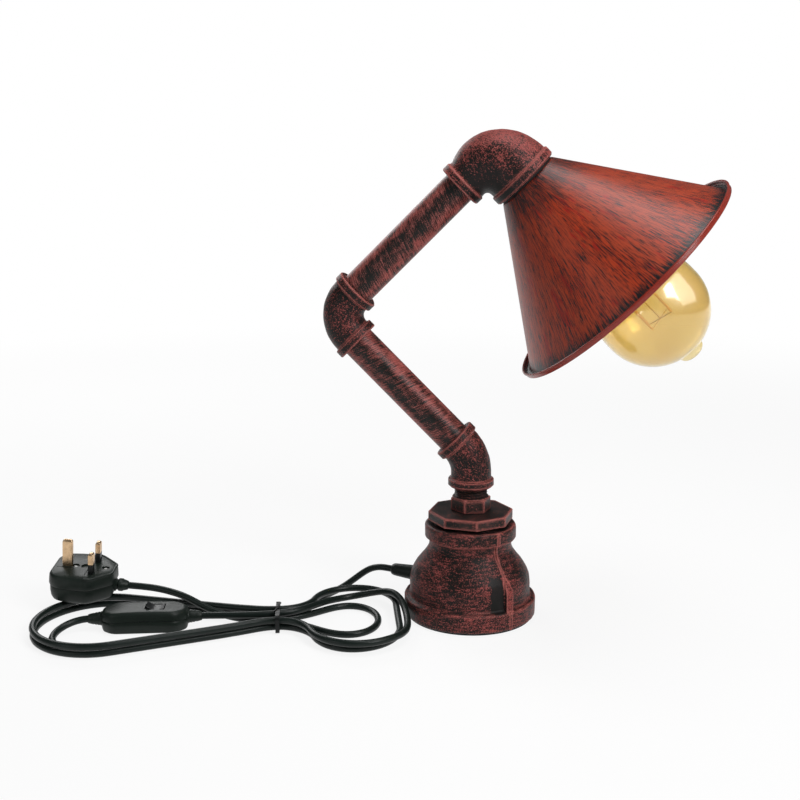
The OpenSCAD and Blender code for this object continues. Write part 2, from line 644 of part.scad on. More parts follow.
// Point of the hank after a number of turns: it goes in on the table and out again one layer up
function hank_point(turns) = let (
    pose = loop_pose((turns - floor(turns)) * loop_rings),
    out = strand_step * sqrt(pow(1 - turns, 2) + 0.0064),
    x = pose[0] + out * sin(pose[2]),
    y = pose[1] - out * cos(pose[2]),
    z = cord_r + strand_step * ease(0.82, 1.12, turns) + 1.0 * exp(-pow(x / 25, 2)))
    hank_place([x, y, z]);
hank_from = 0.185;
hank_to = 1.9;
hank_path = concat([hank_point(hank_from), hank_point(hank_from + 0.008)],
    [for (j = [ceil((hank_from + 0.01) * loop_rings) : floor(hank_to * loop_rings - 0.3)])
        hank_point(j / loop_rings)],
    [hank_point(hank_to - 0.012), hank_point(hank_to)]);
// Least clear gap between two turns of the hank
function from_line(p, a, b) = let (d = b - a, t = max(0, min(1, (p - a) * d / (d * d)))) norm(p - a - t * d);
hank_self_gap = min([for (i = [0 : len(hank_path) - 1], j = [0 : len(hank_path) - 2]) if (abs(i - j) > 5)
    from_line(hank_path[i], hank_path[j], hank_path[j + 1])]) - 2 * cord_r;
echo(hank_self_gap = hank_self_gap);
hank_first_way = unit(hank_point(hank_from + 0.004) - hank_point(hank_from));
hank_last_way = unit(hank_point(hank_to) - hank_point(hank_to - 0.004));
relief_way = [cos(relief_angle), sin(relief_angle), 0];
relief_tip = (relief_root + relief_len) * relief_way + [0, 0, relief_z];
// Routes of the free stretches; points chosen by hand
lead_route = concat([relief_tip, relief_tip + 6 * relief_way, relief_tip + 12 * relief_way],
    [[-86, 31.5, 22.6], [-93, 33, 18], [-100.5, 32.5, 12], [-107.5, 30.5, 7], [-113.5, 26.5, 4],
     [-118.5, 21, 2.9], [-122, 14.5, 2.9]],
    [hank_path[0] - 7 * hank_first_way, hank_path[0]]);
switch_at = [-105, 4];
relief_l = 10;
switch_end = switch_l / 2 + relief_l;
cord_in_z = 9;
switch_route = concat([hank_path[len(hank_path) - 1], hank_path[len(hank_path) - 1] + 6 * hank_last_way],
    [for (p = [[98, -41, 8.2], [102, -27, 7.2], [103, -11, 7.2], [102.5, 4, 9.5], [100, 17, 13.5],
        [94, 29, 15.6], [84, 38, 12.5], [72, 44.5, 8], [59, 45.5, 5.5], [47, 39.5, 6], [36, 27.5, 8.4],
        [25, 12.5, 10.3], [13, 4, 10.2], [0, 1, 10.2], [-18, 0.5, 9.8], [-38, 2.5, 9.2],
        [-55, 4, cord_in_z], [switch_at[0] + switch_end, switch_at[1], cord_in_z]]) hank_place(p)]);
plug_route = [for (p = [[switch_at[0] - switch_end, switch_at[1], cord_in_z], [-155, 4, 8.6], [-164, 0.5, 7.2],
    [-171.5, -7.5, 5], [-174, -18, 3.4], [-171, -28.5, 2.9], [-163, -36.5, 2.9], [-152, -39.5, 2.9],
    [-139, -40, 2.9], [-125, -37.5, 2.9], [-108, -32.5, 2.9], [-90, -27.5, 2.9], [-70, -21, 2.9],
    [-50, -14.5, 2.9], [-30, -8, 3.1], [-15, -4, 3.6], [0, -2.5, 3.8], [15, -5, 3.6], [28, -14, 3.1],
    [41, -25, 2.9], [56, -30, 2.9], [70, -25, 2.9], [79, -12, 2.9], [81, 3, 2.9], [78, 17, 2.9],
    [69.5, 28.5, 2.9], [56, 33, 2.9], [42.5, 27.5, 2.9], [30, 18, 3], [16, 9, 3.5], [0, 4.5, 3.8],
    [-18, 5.7, 3.4], [-38, 10.8, 3.5], [-58, 18, 9.5], [-74, 27.5, 16], [-88, 36.3, 17.7], [-101, 42, 19]])
    hank_place(p)];
module cord_lead() { color("black") tube(smooth_route(lead_route, 1), cord_r, 8); }
module cord_hank() { color("black") tube(hank_path, cord_r, 6); }
module cord_switch_lead() { color("black") tube(smooth_route(switch_route, 1), cord_r, 8); }
plug_in = plug_point([plug_tail_x + grip_l, 0, cord_z]);
plug_in_way = plug_point([plug_tail_x + grip_l + 1, 0, cord_z]) - plug_in;
plug_route_full = concat(plug_route, [plug_in + 12 * plug_in_way, plug_in + 6 * plug_in_way, plug_in]);
module cord_plug_lead() { color("black") tube(smooth_route(plug_route_full, 1), cord_r, 8); }
tie_half = 17;
tie_top = 2 * cord_r + strand_step + 2.2;
module cord_tie() {
    color("black") translate([hank_at[0], hank_at[1], 0]) rotate([0, 0, hank_turn])
        rotate([90, 0, 90]) translate([0, 0, -tie_w / 2]) linear_extrude(tie_w) difference() {
            translate([-tie_half - tie_t, 0.02]) square([2 * (tie_half + tie_t), tie_top + tie_t]);
            translate([-tie_half, tie_t]) square([2 * tie_half, tie_top - tie_t]);
        }
}

// ---- switch ----
// Its own frame: length along X, the table at z = 0
switch_foot = 0.02;
split_z = 9;
module at_switch() {
    c = hank_place([switch_at[0], switch_at[1], switch_foot]);
    translate(c) rotate([0, 0, hank_turn]) children();
}
module switch_plan(inset) {
    l = switch_l / 2 - inset;
    w = switch_w / 2 - inset;
    polygon([[-l, -w * 0.45], [-l + 9, -w], [l - 9, -w], [l, -w * 0.45], [l, w * 0.45], [l - 9, w], [-l + 9, w],
        [-l, w * 0.45]]);
}
module switch_relief(z1, z2) {
    intersection() {
        for (side = [0, 180]) rotate([0, 0, side]) translate([switch_l / 2 - 1, 0, cord_in_z]) rotate([0, 90, 0])
            rotate_extrude() polygon([[0, 0], [5.6, 0], [5.2, 4], [4, relief_l + 1], [0, relief_l + 1]]);
        translate([-60, -20, z1]) cube([120, 40, z2 - z1]);
    }
}
module cord_way() { translate([0, 0, cord_in_z]) rotate([0, 90, 0]) rod(cord_r + fit, -60, 60); }
module switch_base() {
    color("darkslategray") at_switch() difference() {
        union() {
            linear_extrude(split_z) switch_plan(0);
            switch_relief(0, split_z);
        }
        translate([0, 0, 1.6]) linear_extrude(split_z) switch_plan(1.8);
        cord_way();
        for (x = [-24, 24]) translate([x, 0, 0]) rod(1.5 + fit, -1, 3);
    }
    color("darkslategray") at_switch() for (x = [-24, 24], y = [-9.5, 9.5]) translate([x, y, 0]) rod(2, 1, split_z - 1);
}
rocker_pin_r = 1;
rocker_z = switch_h - 2;
rocker_x = 8;
rocker_tilt = 10;
module switch_cover() {
    color("darkslategray") at_switch() difference() {
        union() {
            translate([0, 0, split_z]) linear_extrude(switch_h - split_z - 2) switch_plan(0);
            translate([0, 0, switch_h - 2.01]) linear_extrude(2) switch_plan(1.4);
            switch_relief(split_z, 20);
        }
        translate([0, 0, split_z - 1]) linear_extrude(switch_h - split_z - 0.8) switch_plan(1.8);
        cord_way();
        translate([rocker_x - rocker_l / 2 - 0.4, -rocker_w / 2 - 0.4, 4])
            cube([rocker_l + 0.8, rocker_w + 0.8, switch_h]);
        translate([rocker_x, 0, rocker_z]) rotate([90, 0, 0])
            cylinder(r = rocker_pin_r + fit, h = rocker_w + 7, center = true);
    }
    color("darkslategray") at_switch() for (y = [-1, 1])
        translate([rocker_x, y * (rocker_w / 2 + 2), rocker_z]) rotate([90, 0, 0]) difference() {
            translate([-2.5, -2.5, -1.5]) cube([5, 3.4, 3]);
            cylinder(r = rocker_pin_r + fit, h = 10, center = true);
        }
}
// Rocker at rest: pressed down at its +X end; it turns about the pin
module switch_rocker() {
    color("black") at_switch() translate([rocker_x, 0, rocker_z]) rotate([0, rocker_tilt, 0]) rotate([90, 0, 0])
        difference() {
            linear_extrude(rocker_w, center = true) polygon([[-rocker_l / 2 + 0.6, 3.4], [-2.5, 1.8], [2.5, 1.8],
                [rocker_l / 2 - 0.6, 3.4], [rocker_l / 2 - 0.9, -1.5], [3, -3], [-3, -3], [-rocker_l / 2 + 0.9, -1.5]]);
            cylinder(r = rocker_pin_r + fit, h = rocker_w + 2, center = true);
        }
}
module rocker_pin() {
    color("silver") at_switch() translate([rocker_x, 0, rocker_z]) rotate([90, 0, 0])
        cylinder(r = rocker_pin_r, h = rocker_w + 6.6, center = true);
}
module switch_contacts() {
    color("goldenrod") at_switch() for (x = [-12, rocker_x]) translate([x - 4, -4, 1.6]) {
        cube([8, 8, 1]);
        translate([2.5, 2.5, 0.5]) cube([3, 3, 5]);
    }
}
module switch_screws() {
    color("silver") at_switch() for (x = [-24, 24]) translate([x, 0, 0]) {
        rod(1.5, 0.3, 5);
        rod(2.6, 1.7, 3);
    }
}

// ---- plug ----
plug_split = 13;
line_x = 9;
earth_x = line_x - pin_pitch;
module plug_plan(inset) {
    w = plug_w / 2 - inset;
    polygon([[-25 + inset, -w * 0.55], [-22 + inset, -w * 0.78], [-17, -w * 0.92], [-6, -w], [8, -w], [13, -w * 0.88],
        [plug_tail_x - inset, -w * 0.36], [plug_tail_x - inset, w * 0.36], [13, w * 0.88], [8, w], [-6, w],
        [-17, w * 0.92], [-22 + inset, w * 0.78], [-25 + inset, w * 0.55]]);
}
module plug_base() {
    color("black") at_plug() difference() {
        union() {
            translate([0, 0, plug_split]) linear_extrude(plug_h - plug_split - 1.5) plug_plan(0);
            translate([0, 0, plug_h - 1.51]) linear_extrude(1.5) plug_plan(1.5);
        }
        translate([0, 0, plug_split - 1]) linear_extrude(plug_h - plug_split - 1.5) plug_plan(2.2);
        translate([earth_x - 4 - fit, -2 - fit, 0]) cube([8 + 2 * fit, 4 + 2 * fit, 40]);
        for (s = [-1, 1]) translate([line_x - 2 - fit, s * pin_pitch / 2 - 3.2 - fit, 0])
            cube([4 + 2 * fit, 6.4 + 2 * fit, 40]);
        for (p = plug_screw_at) translate([p[0], p[1], 0]) rod(screw_r + fit, plug_split, plug_h + 1);
        translate([plug_tail_x - 3.1, 0, cord_z]) rotate([0, 90, 0]) rod(grip_r + fit, 0, 20);
    }
}
plug_screw_at = [[-6.5, 0], [18, 0]];
screw_r = 2.4;
module plug_cover() {
    color("black") at_plug() difference() {
        union() {
            hull() {
                linear_extrude(0.5) plug_plan(4);
                translate([0, 0, 3]) linear_extrude(plug_split - 3) plug_plan(0.8);
            }
            translate([plug_tail_x - 3, 0, cord_z]) rotate([0, 90, 0]) rotate_extrude() polygon([[0, 0], [grip_r, 0],
                [grip_r, 3], [4.4, 3.4], [4.4, 4.6], [5, 5], [4, grip_l + 3], [0, grip_l + 3]]);
        }
        translate([0, 0, 2]) linear_extrude(plug_split) plug_plan(3);
        translate([0, 0, cord_z]) rotate([0, 90, 0]) rod(cord_r + fit, 10, 60);
    }
    color("black") at_plug() for (p = plug_screw_at) translate([p[0], p[1], 0]) rod(2.4, 1.5, plug_split - 1);
}
module earth_pin() {
    color("peru") at_plug() translate([earth_x - 4, -2, plug_split - 4])
        cube([8, 4, plug_h - plug_split + 4 + earth_len]);
}
module line_pins() {
    color("peru") at_plug() for (s = [-1, 1]) translate([line_x, s * pin_pitch / 2, 0]) {
        translate([-2, -3.2, plug_split - 4]) cube([4, 6.4, plug_h - plug_split + 4 - 0.5]);
        translate([-1.4, -2.6, plug_h - 0.51]) cube([2.8, 5.2, 9.5]);
        translate([-2, -3.2, plug_h + sleeve_h]) cube([4, 6.4, pin_len - sleeve_h]);
    }
}
sleeve_h = 8.8;
module pin_sleeves() {
    color("black") at_plug() for (s = [-1, 1]) translate([line_x, s * pin_pitch / 2, plug_h - 0.5]) difference() {
        translate([-2, -3.2, 0]) cube([4, 6.4, sleeve_h + 0.5]);
        translate([-1.4, -2.6, -1]) cube([2.8, 5.2, sleeve_h + 3]);
    }
}
fuse_r = 3.2;
fuse_x = -1;
fuse_y = pin_pitch / 2;
module plug_fuse() {
    color("white") at_plug() translate([fuse_x - 14, fuse_y, 8.5]) rotate([0, 90, 0]) rod(fuse_r, 0, 19);
}
module fuse_clips() {
    color("goldenrod") at_plug() for (x = [-14, 2]) translate([fuse_x + x, fuse_y, 8.5]) rotate([0, 90, 0])
        difference() {
            ring(fuse_r + 0.7, fuse_r + fit, 0.2, 3);
            translate([-8, -1.5, -1]) cube([6, 3, 5]);
        }
    color("goldenrod") at_plug() {
        translate([fuse_x - 13.8, fuse_y - 1.5, 12]) cube([2.8, 3, plug_h - 14.5]);
        translate([fuse_x + 2.2, fuse_y - 1.5, 11.9]) cube([line_x - 4.2 - fuse_x, 3, 0.9]);
    }
}
module cord_clamp() { color("dimgray") at_plug() translate([9, -7, 2]) cube([4, 14, 4.9]); }
module plug_screws() {
    color("silver") at_plug() for (p = plug_screw_at) translate([p[0], p[1], 0]) {
        rod(1.4, plug_split - 1, plug_h - 2);
        difference() {
            rod(screw_r, plug_h - 3, plug_h - 1);
            translate([-3, -0.4, plug_h - 1.8]) cube([6, 0.8, 2]);
        }
    }
}

foot_socket();
foot_pad();
foot_plate();
octagon_bushing();
hex_nipple();
lower_elbow();
lower_pipe();
middle_elbow();
upper_pipe();
upper_elbow();
mouth_bush();
hollow_rod();
rod_nut();
shade_washer();
shade();
holder_cap();
holder_skirt();
holder_insert();
screw_shell();
centre_contact();
terminal_screws();
holder_cores();
bulb_glass();
bulb_stem();
bulb_filaments();
bulb_supports();
bulb_cap();
bulb_insulator();
bulb_contact();
foot_flex();
lower_flex();
upper_flex();
head_flex();
strain_relief();
relief_nut();
cord_lead();
cord_hank();
cord_tie();
cord_switch_lead();
cord_plug_lead();
switch_base();
switch_cover();
switch_rocker();
rocker_pin();
switch_contacts();
switch_screws();
plug_base();
plug_cover();
earth_pin();
line_pins();
pin_sleeves();
plug_fuse();
fuse_clips();
cord_clamp();
plug_screws();
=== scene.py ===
"""Looks of the pipe table lamp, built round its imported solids.

Metres, +Z up, the foot's centre on the table at the origin, the camera looking along +Y.
"""

import math

import bmesh
import bpy
from mathutils import Matrix, Vector, noise


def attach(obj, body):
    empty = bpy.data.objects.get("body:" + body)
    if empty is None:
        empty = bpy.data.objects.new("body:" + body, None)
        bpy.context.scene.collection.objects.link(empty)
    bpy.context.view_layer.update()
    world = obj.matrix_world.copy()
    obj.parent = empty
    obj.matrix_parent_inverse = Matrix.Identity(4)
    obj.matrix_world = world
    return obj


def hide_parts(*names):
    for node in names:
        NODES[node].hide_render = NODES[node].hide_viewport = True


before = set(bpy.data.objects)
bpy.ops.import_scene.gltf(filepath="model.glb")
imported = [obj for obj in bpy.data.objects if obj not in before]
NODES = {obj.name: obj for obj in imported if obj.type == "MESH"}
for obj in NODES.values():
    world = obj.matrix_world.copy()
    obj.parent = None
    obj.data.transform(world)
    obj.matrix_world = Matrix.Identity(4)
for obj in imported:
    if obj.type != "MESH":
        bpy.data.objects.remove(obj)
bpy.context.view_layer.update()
MM = 0.001

# ---- the arm's own frames, as in the part's source ----
ELBOW_Z = 132.4 * MM
LOWER_RUN = 158.5 * MM
UPPER_RUN = 181.8 * MM
LOW_WAY = Vector((-1, 0, 1)).normalized()
LOW_AT = Vector((0, 0, ELBOW_Z))
MIDDLE_AT = LOW_AT + LOWER_RUN * LOW_WAY


def spin(degrees, axis="Z"):
    return Matrix.Rotation(math.radians(degrees), 4, axis)


LOWER = Matrix.Translation(LOW_AT) @ spin(-45, "Y")
UPPER = Matrix.Translation(MIDDLE_AT) @ spin(45, "Y")
TOP = UPPER @ Matrix.Translation((0, 0, UPPER_RUN)) @ spin(4)
HEAD = TOP @ spin(90, "Y")

# ---- measures in millimetres that several pieces share ----
PIPE_R = 13.45
RIB_ANGLES = (-49, 131)
NIPPLE_TOP = 98.5


# ---- camera and lights ----
def placed(name, data):
    made = bpy.data.objects.new(name, data)
    bpy.context.scene.collection.objects.link(made)
    return made


def make_camera():
    data = bpy.data.cameras.new("camera")
    data.lens = 52.39
    data.sensor_width = 36
    data.clip_start = 0.05
    cam = placed("camera", data)
    cam.location = (0.05027, -0.90854, 0.36441)
    cam.rotation_euler = (math.radians(90 - 11.6), 0, math.radians(6.78))
    bpy.context.scene.camera = cam


def area_light(name, at, towards, size, power):
    data = bpy.data.lights.new(name, "AREA")
    data.shape = "RECTANGLE"
    data.size, data.size_y = size
    data.energy = power
    light = placed(name, data)
    light.location = at
    light.rotation_euler = (Vector(towards) - Vector(at)).to_track_quat("-Z", "Y").to_euler()
    light.visible_camera = False
    return light


make_camera()
bpy.context.scene.view_settings.view_transform = "Standard"


# ---- node materials ----
class Paint:
    """One node material, built a node at a time."""

    def __init__(self, name):
        self.mat = bpy.data.materials.new(name)
        self.mat.use_nodes = True
        self.tree = self.mat.node_tree
        self.tree.nodes.clear()
        self.out = self.tree.nodes.new("ShaderNodeOutputMaterial")
        self.bsdf = self.tree.nodes.new("ShaderNodeBsdfPrincipled")
        self.tree.links.new(self.bsdf.outputs[0], self.out.inputs[0])

    def put(self, value, socket):
        if isinstance(value, bpy.types.NodeSocket):
            self.tree.links.new(value, socket)
        else:
            socket.default_value = value

    def add(self, kind, out=0, inputs=None, **settings):
        n = self.tree.nodes.new("ShaderNode" + kind)
        for k, v in settings.items():
            setattr(n, k, v)
        for k, v in (inputs or {}).items():
            self.put(v, n.inputs[k])
        return n.outputs[out]

    def coords(self, place=None):
        """Object coordinates, in the frame that place puts in the row frame."""
        here = self.add("TexCoord", "Object")
        if place is None:
            return here
        return self.add("Mapping", vector_type="TEXTURE", inputs={
            "Vector": here, "Location": place.to_translation(), "Rotation": place.to_euler()})

    def scaled(self, vector, by):
        return self.add("VectorMath", operation="MULTIPLY", inputs={0: vector, 1: by})

    def split(self, vector):
        parts = self.tree.nodes.new("ShaderNodeSeparateXYZ")
        self.put(vector, parts.inputs[0])
        return parts.outputs

    def noise(self, vector, scale, detail=2.0, rough=0.5):
        return self.add("TexNoise", "Fac", inputs={
            "Vector": vector, "Scale": scale, "Detail": detail, "Roughness": rough})

    def math(self, op, a, b=0.0):
        return self.add("Math", operation=op, inputs={0: a, 1: b})

    def range(self, value, lo, hi, to_lo=0.0, to_hi=1.0):
        return self.add("MapRange", interpolation_type="SMOOTHSTEP", inputs={
            "Value": value, "From Min": lo, "From Max": hi, "To Min": to_lo, "To Max": to_hi})

    def mix(self, fac, a, b):
        n = self.tree.nodes.new("ShaderNodeMix")
        n.data_type = "RGBA"
        for k, v in (("Factor", fac), (6, a), (7, b)):
            self.put(v, n.inputs[k])
        return n.outputs[2]

    def blend(self, fac, first, second):
        """One shader over another."""
        return self.add("MixShader", inputs={0: fac, 1: first, 2: second})

    def total(self, *terms):
        """Sum of weight times value over (value, weight) pairs."""
        whole = None
        for value, weight in terms:
            part = self.math("MULTIPLY", value, weight)
            whole = part if whole is None else self.math("ADD", whole, part)
        return whole

    def edges(self, radius):
        """1 on sharp outer and inner edges, 0 on flats."""
        soft = self.add("Bevel", "Normal", samples=4, inputs={"Radius": radius})
        hard = self.add("NewGeometry", "Normal")
        dot = self.add("VectorMath", "Value", operation="DOT_PRODUCT", inputs={0: soft, 1: hard})
        return self.range(dot, 0.93, 0.995, 1.0, 0.0)

    def occlusion_light(self, distance):
        """1 on open faces, 0 deep in corners: ambient occlusion, for painting shade into corners."""
        free = self.add("AmbientOcclusion", "AO", samples=4, inputs={"Distance": distance})
        return self.range(free, 0.35, 0.85)

    def bump(self, height, distance, strength):
        inputs = {"Height": height, "Distance": distance, "Strength": strength}
        self.put(self.add("Bump", "Normal", inputs=inputs), self.bsdf.inputs["Normal"])

    def set(self, colour, rough, specular=0.5, metal=0.0):
        for key, value in (("Base Color", colour), ("Roughness", rough),
                           ("Specular IOR Level", specular), ("Metallic", metal)):
            self.put(value, self.bsdf.inputs[key])


def grey(v):
    return (v, v, v, 1)


def times(colour, k):
    """A colour made lighter or darker."""
    return tuple(min(1, c * k) for c in colour[:3]) + (1,)


BLACK = (0.006, 0.007, 0.006, 1)
DARK_GROUND = (0.016, 0.012, 0.012, 1)
BROWN_GROUND = (0.034, 0.024, 0.022, 1)
RED = (0.26, 0.048, 0.043, 1)
PALE_RED = (0.46, 0.135, 0.115, 1)
SHADE_RED = (0.41, 0.040, 0.009, 1)
SHADE_ORANGE = (0.38, 0.046, 0.014, 1)
SHADE_CRIMSON = (0.36, 0.016, 0.004, 1)
SHADE_BLACK = (0.007, 0.007, 0.008, 1)
# Near-black painted into the shade's rim gutter as painted shade.
GUTTER_SHADE = (0.012, 0.009, 0.009, 1)
RIM_LIGHT, RIM_DARK = (0.27, 0.030, 0.018, 1), (0.16, 0.02, 0.014, 1)
GLASS_GLOW = (0.98, 0.72, 0.26, 1)
STROKES_PER_METRE = 204


def casting(name, place, streak, level, edge, above, marks=None, ground=DARK_GROUND):
    """Sandy cast iron: near-black with red brushed over the grain and on its edges, with painted light.

    The edges' red is partly brushed paint and partly painted highlight, with paler pink there; corners lose red
    as painted shade. level sets how much is red, edge how wide the edges' red is in metres, and above how much
    red the faces that point up gain, a painted highlight from overhead; marks gives further (value, weight) terms.
    """
    p = Paint(name)
    here = p.coords(place)
    grain = p.noise(here, 1150, 2, 0.5)
    fine = p.noise(here, 2100, 2, 0.6)
    swept = p.noise(p.scaled(here, streak), 560, 2, 0.6)
    broad = p.noise(p.scaled(here, streak), 150, 2, 0.5)
    patch = p.noise(here, 55, 2, 0.5)
    # Painted shade: ambient occlusion takes red away deep in corners and recesses.
    free = p.occlusion_light(0.006)
    # Red on sharp edges, partly brushed paint and partly painted highlight.
    edge_paint_and_highlight = p.math("MULTIPLY", p.edges(edge), free)
    # Painted highlight from overhead: faces that point up gain red by above, and lose it where above is below zero.
    up = p.split(p.add("TexCoord", "Normal"))[2]
    amount = p.total((grain, 1.5), (fine, 0.9), (swept, 0.9), (broad, 0.35), (patch, 0.4), (edge_paint_and_highlight, 0.7),
                     (up, above), (free, 0.35), *(marks(p) if marks else ()))
    middle = 2.50 + 0.6 * (0.5 - level)
    red = p.range(amount, middle - 0.12, middle + 0.16)
    # Paler pink on random specks and, as painted highlight, on the edges.
    tint = p.mix(p.range(p.total((fine, 0.6), (edge_paint_and_highlight, 0.3)), 0.27, 0.42), RED, PALE_RED)
    dark = p.mix(p.range(p.total((patch, 0.5), (fine, 0.5)), 0.38, 0.62), BLACK, ground)
    p.set(p.mix(red, dark, tint), p.range(red, 0, 1, 0.40, 0.54), 0.16)
    p.bump(p.total((grain, 0.7), (fine, 0.4)), 0.0004, 0.7)
    return p.mat


def rib_marks(p):
    """Black along one side of each of the foot's ribs, and a redder face on the ribs."""
    terms = []
    for angle in RIB_ANGLES:
        outward, across, up = p.split(p.coords(spin(angle)))
        here = p.range(outward, 0.020, 0.028)
        bulge = p.math("MULTIPLY", p.range(up, 0.0150, 0.0170), p.range(up, 0.046, 0.036))
        wobble = p.math("ADD", across, p.total((p.noise(p.coords(), 220, 2), 0.006)))
        beside = p.math("MULTIPLY", p.range(wobble, -0.0125, -0.0085), p.range(across, -0.0028, -0.0034))
        face = p.math("MULTIPLY", p.range(across, -0.0040, -0.0034), p.range(across, 0.0040, 0.0034))
        there = p.math("MULTIPLY", here, bulge)
        terms += [(p.math("MULTIPLY", beside, there), -0.8), (p.math("MULTIPLY", face, there), 0.22)]
    return terms


def thread_marks(p):
    """No red on the thread above the hexagon."""
    return [(p.range(p.split(p.coords())[2], (NIPPLE_TOP + 0.1) * MM, (NIPPLE_TOP + 0.9) * MM), -0.55)]


def pipe(name, place):
    """Pipe brushed across in slanting strokes: red at the sides, and along the middle a black band of painted shade on
    the faces that point along ±Y.
    """
    p = Paint(name)
    here = p.coords(place)
    _, y, z = p.split(here)
    twisted = p.add("VectorRotate", rotation_type="Z_AXIS", inputs={
        "Vector": here, "Angle": p.math("MULTIPLY", z, STROKES_PER_METRE)})
    fine = p.noise(p.scaled(twisted, (1, 1, 0.24)), 1700, 2, 0.65)
    stroke = p.noise(p.scaled(twisted, (1, 1, 0.3)), 800, 2, 0.6)
    patch = p.noise(p.scaled(here, (1, 1, 0.55)), 110, 2, 0.5)
    grain = p.noise(here, 1900, 2, 0.6)
    # Painted shade: less red on the faces that point along ±Y, towards and away from the camera.
    band = p.range(p.math("MULTIPLY", p.math("ABSOLUTE", y), 1 / (PIPE_R * MM)), 0.72, 1.0)
    amount = p.total((fine, 1.2), (stroke, 1.1), (patch, 0.9), (grain, 0.9), (band, -0.24))
    red = p.range(amount, 1.90, 2.16)
    p.set(p.mix(red, BLACK, p.mix(p.range(fine, 0.42, 0.62), RED, PALE_RED)), p.range(red, 0, 1, 0.36, 0.46), 0.24)
    p.bump(p.total((fine, 0.6), (grain, 0.4)), 0.00025, 0.6)
    return p.mat


def lampshade(name):
    """Sheet brushed from top to rim: red over black, black showing in dashes and beside the rim, and near-black in the
    rim's gutter as painted shade.
    """
    p = Paint(name)
    x, y, down = p.split(p.coords(HEAD))
    flat = p.add("CombineXYZ", inputs={0: x, 1: y, 2: 0.0})
    round_ = p.add("VectorMath", operation="NORMALIZE", inputs={0: flat})
    along_cone = p.add("CombineXYZ", inputs={0: 0.0, 1: 0.0, 2: down})

    def streak(across, length):
        """Noise drawn out along the cone: how fine it is round the cone and down it."""
        where = p.add("VectorMath", operation="ADD", inputs={
            0: p.scaled(round_, (across,) * 3), 1: p.scaled(along_cone, (length,) * 3)})
        return p.noise(where, 1, 2, 0.6)

    dash = streak(235, 120)
    fine = streak(480, 260)
    patch = streak(5, 26)
    radius = p.add("VectorMath", "Value", operation="LENGTH", inputs={0: flat})
    near_rim = p.range(down, 0.130, 0.1415)
    near_top = p.range(down, 0.066, 0.036)
    amount = p.total((dash, 1.8), (fine, 0.55), (streak(80, 60), 0.45), (patch, 0.35), (near_rim, -0.30),
                     (near_top, -0.20))
    red = p.range(amount, 1.47, 1.54)
    lip = p.range(radius, 0.1034, 0.1040)
    # Painted shade: the recessed gutter between the cone and its lip is made near-black.
    gutter_shade = p.range(radius, 0.0996, 0.1006)
    tint = p.mix(p.range(patch, 0.40, 0.62), SHADE_RED, SHADE_ORANGE)
    tint = p.mix(p.range(streak(9, 40), 0.58, 0.66), tint, SHADE_CRIMSON)
    dashes_and_gutter_shade = p.mix(gutter_shade, p.mix(red, SHADE_BLACK, tint), GUTTER_SHADE)
    rim = p.mix(p.range(fine, 0.5, 0.7), RIM_LIGHT, RIM_DARK)
    p.set(p.mix(lip, dashes_and_gutter_shade, rim), p.mix(lip, p.range(red, 0, 1, 0.36, 0.38), grey(0.24)), 0.38)
    p.bump(dash, 0.00012, 0.5)
    return p.mat


def plastic(name, colour, rough, grain=1600, depth=0.00006):
    """Moulded plastic, rubber or ceramic, with a fine grain and a slight cloudiness."""
    p = Paint(name)
    n = p.noise(p.coords(), grain, 3, 0.6)
    wide = p.noise(p.coords(), 60, 2)
    p.set(p.mix(p.range(wide, 0.3, 0.7), colour, times(colour, 1.25)),
          p.range(n, 0.2, 0.8, rough - 0.06, rough + 0.08), 0.22)
    p.bump(n, depth, 0.5)
    return p.mat


def bright_metal(name, colour, rough, scratch=(1, 1, 1)):
    """Bare metal, scratched along one axis and slightly tarnished."""
    p = Paint(name)
    n = p.noise(p.scaled(p.coords(), scratch), 900, 3, 0.6)
    tarnish = p.noise(p.coords(), 160, 3, 0.6)
    p.set(p.mix(p.range(tarnish, 0.35, 0.75), colour, times(colour, 0.72)),
          p.range(n, 0.2, 0.8, rough - 0.08, rough + 0.1), metal=1.0)
    p.bump(n, 0.00004, 0.4)
    return p.mat


def thin_glass(name, colour, gloss, glow, satin=0.0):
    """Thin tinted glass: part clear, part milky, with a soft sheen and a mirror skin that is stronger at its edge."""
    p = Paint(name)
    tint = p.mix(p.range(p.noise(p.coords(), 25, 2), 0.3, 0.7), colour, times(colour, 1.05))
    clear = p.add("BsdfTransparent", inputs={0: tint})
    milky = p.add("BsdfTranslucent", inputs={0: p.mix(0.5, tint, GLASS_GLOW)})
    soft = p.add("BsdfGlossy", inputs={0: (1, 0.97, 0.92, 1), "Roughness": 0.42})
    mirror = p.add("BsdfGlossy", inputs={0: (1, 1, 1, 1), "Roughness": 0.13})
    back = p.add("NewGeometry", "Backfacing")
    ior = p.math("ADD", gloss, p.math("MULTIPLY", back, 1 / gloss - gloss))
    inside = p.blend(satin, p.blend(glow, clear, milky), soft)
    p.put(p.blend(p.add("Fresnel", inputs={0: ior}), inside, mirror), p.out.inputs[0])
    p.tree.nodes.remove(p.bsdf)
    return p.mat


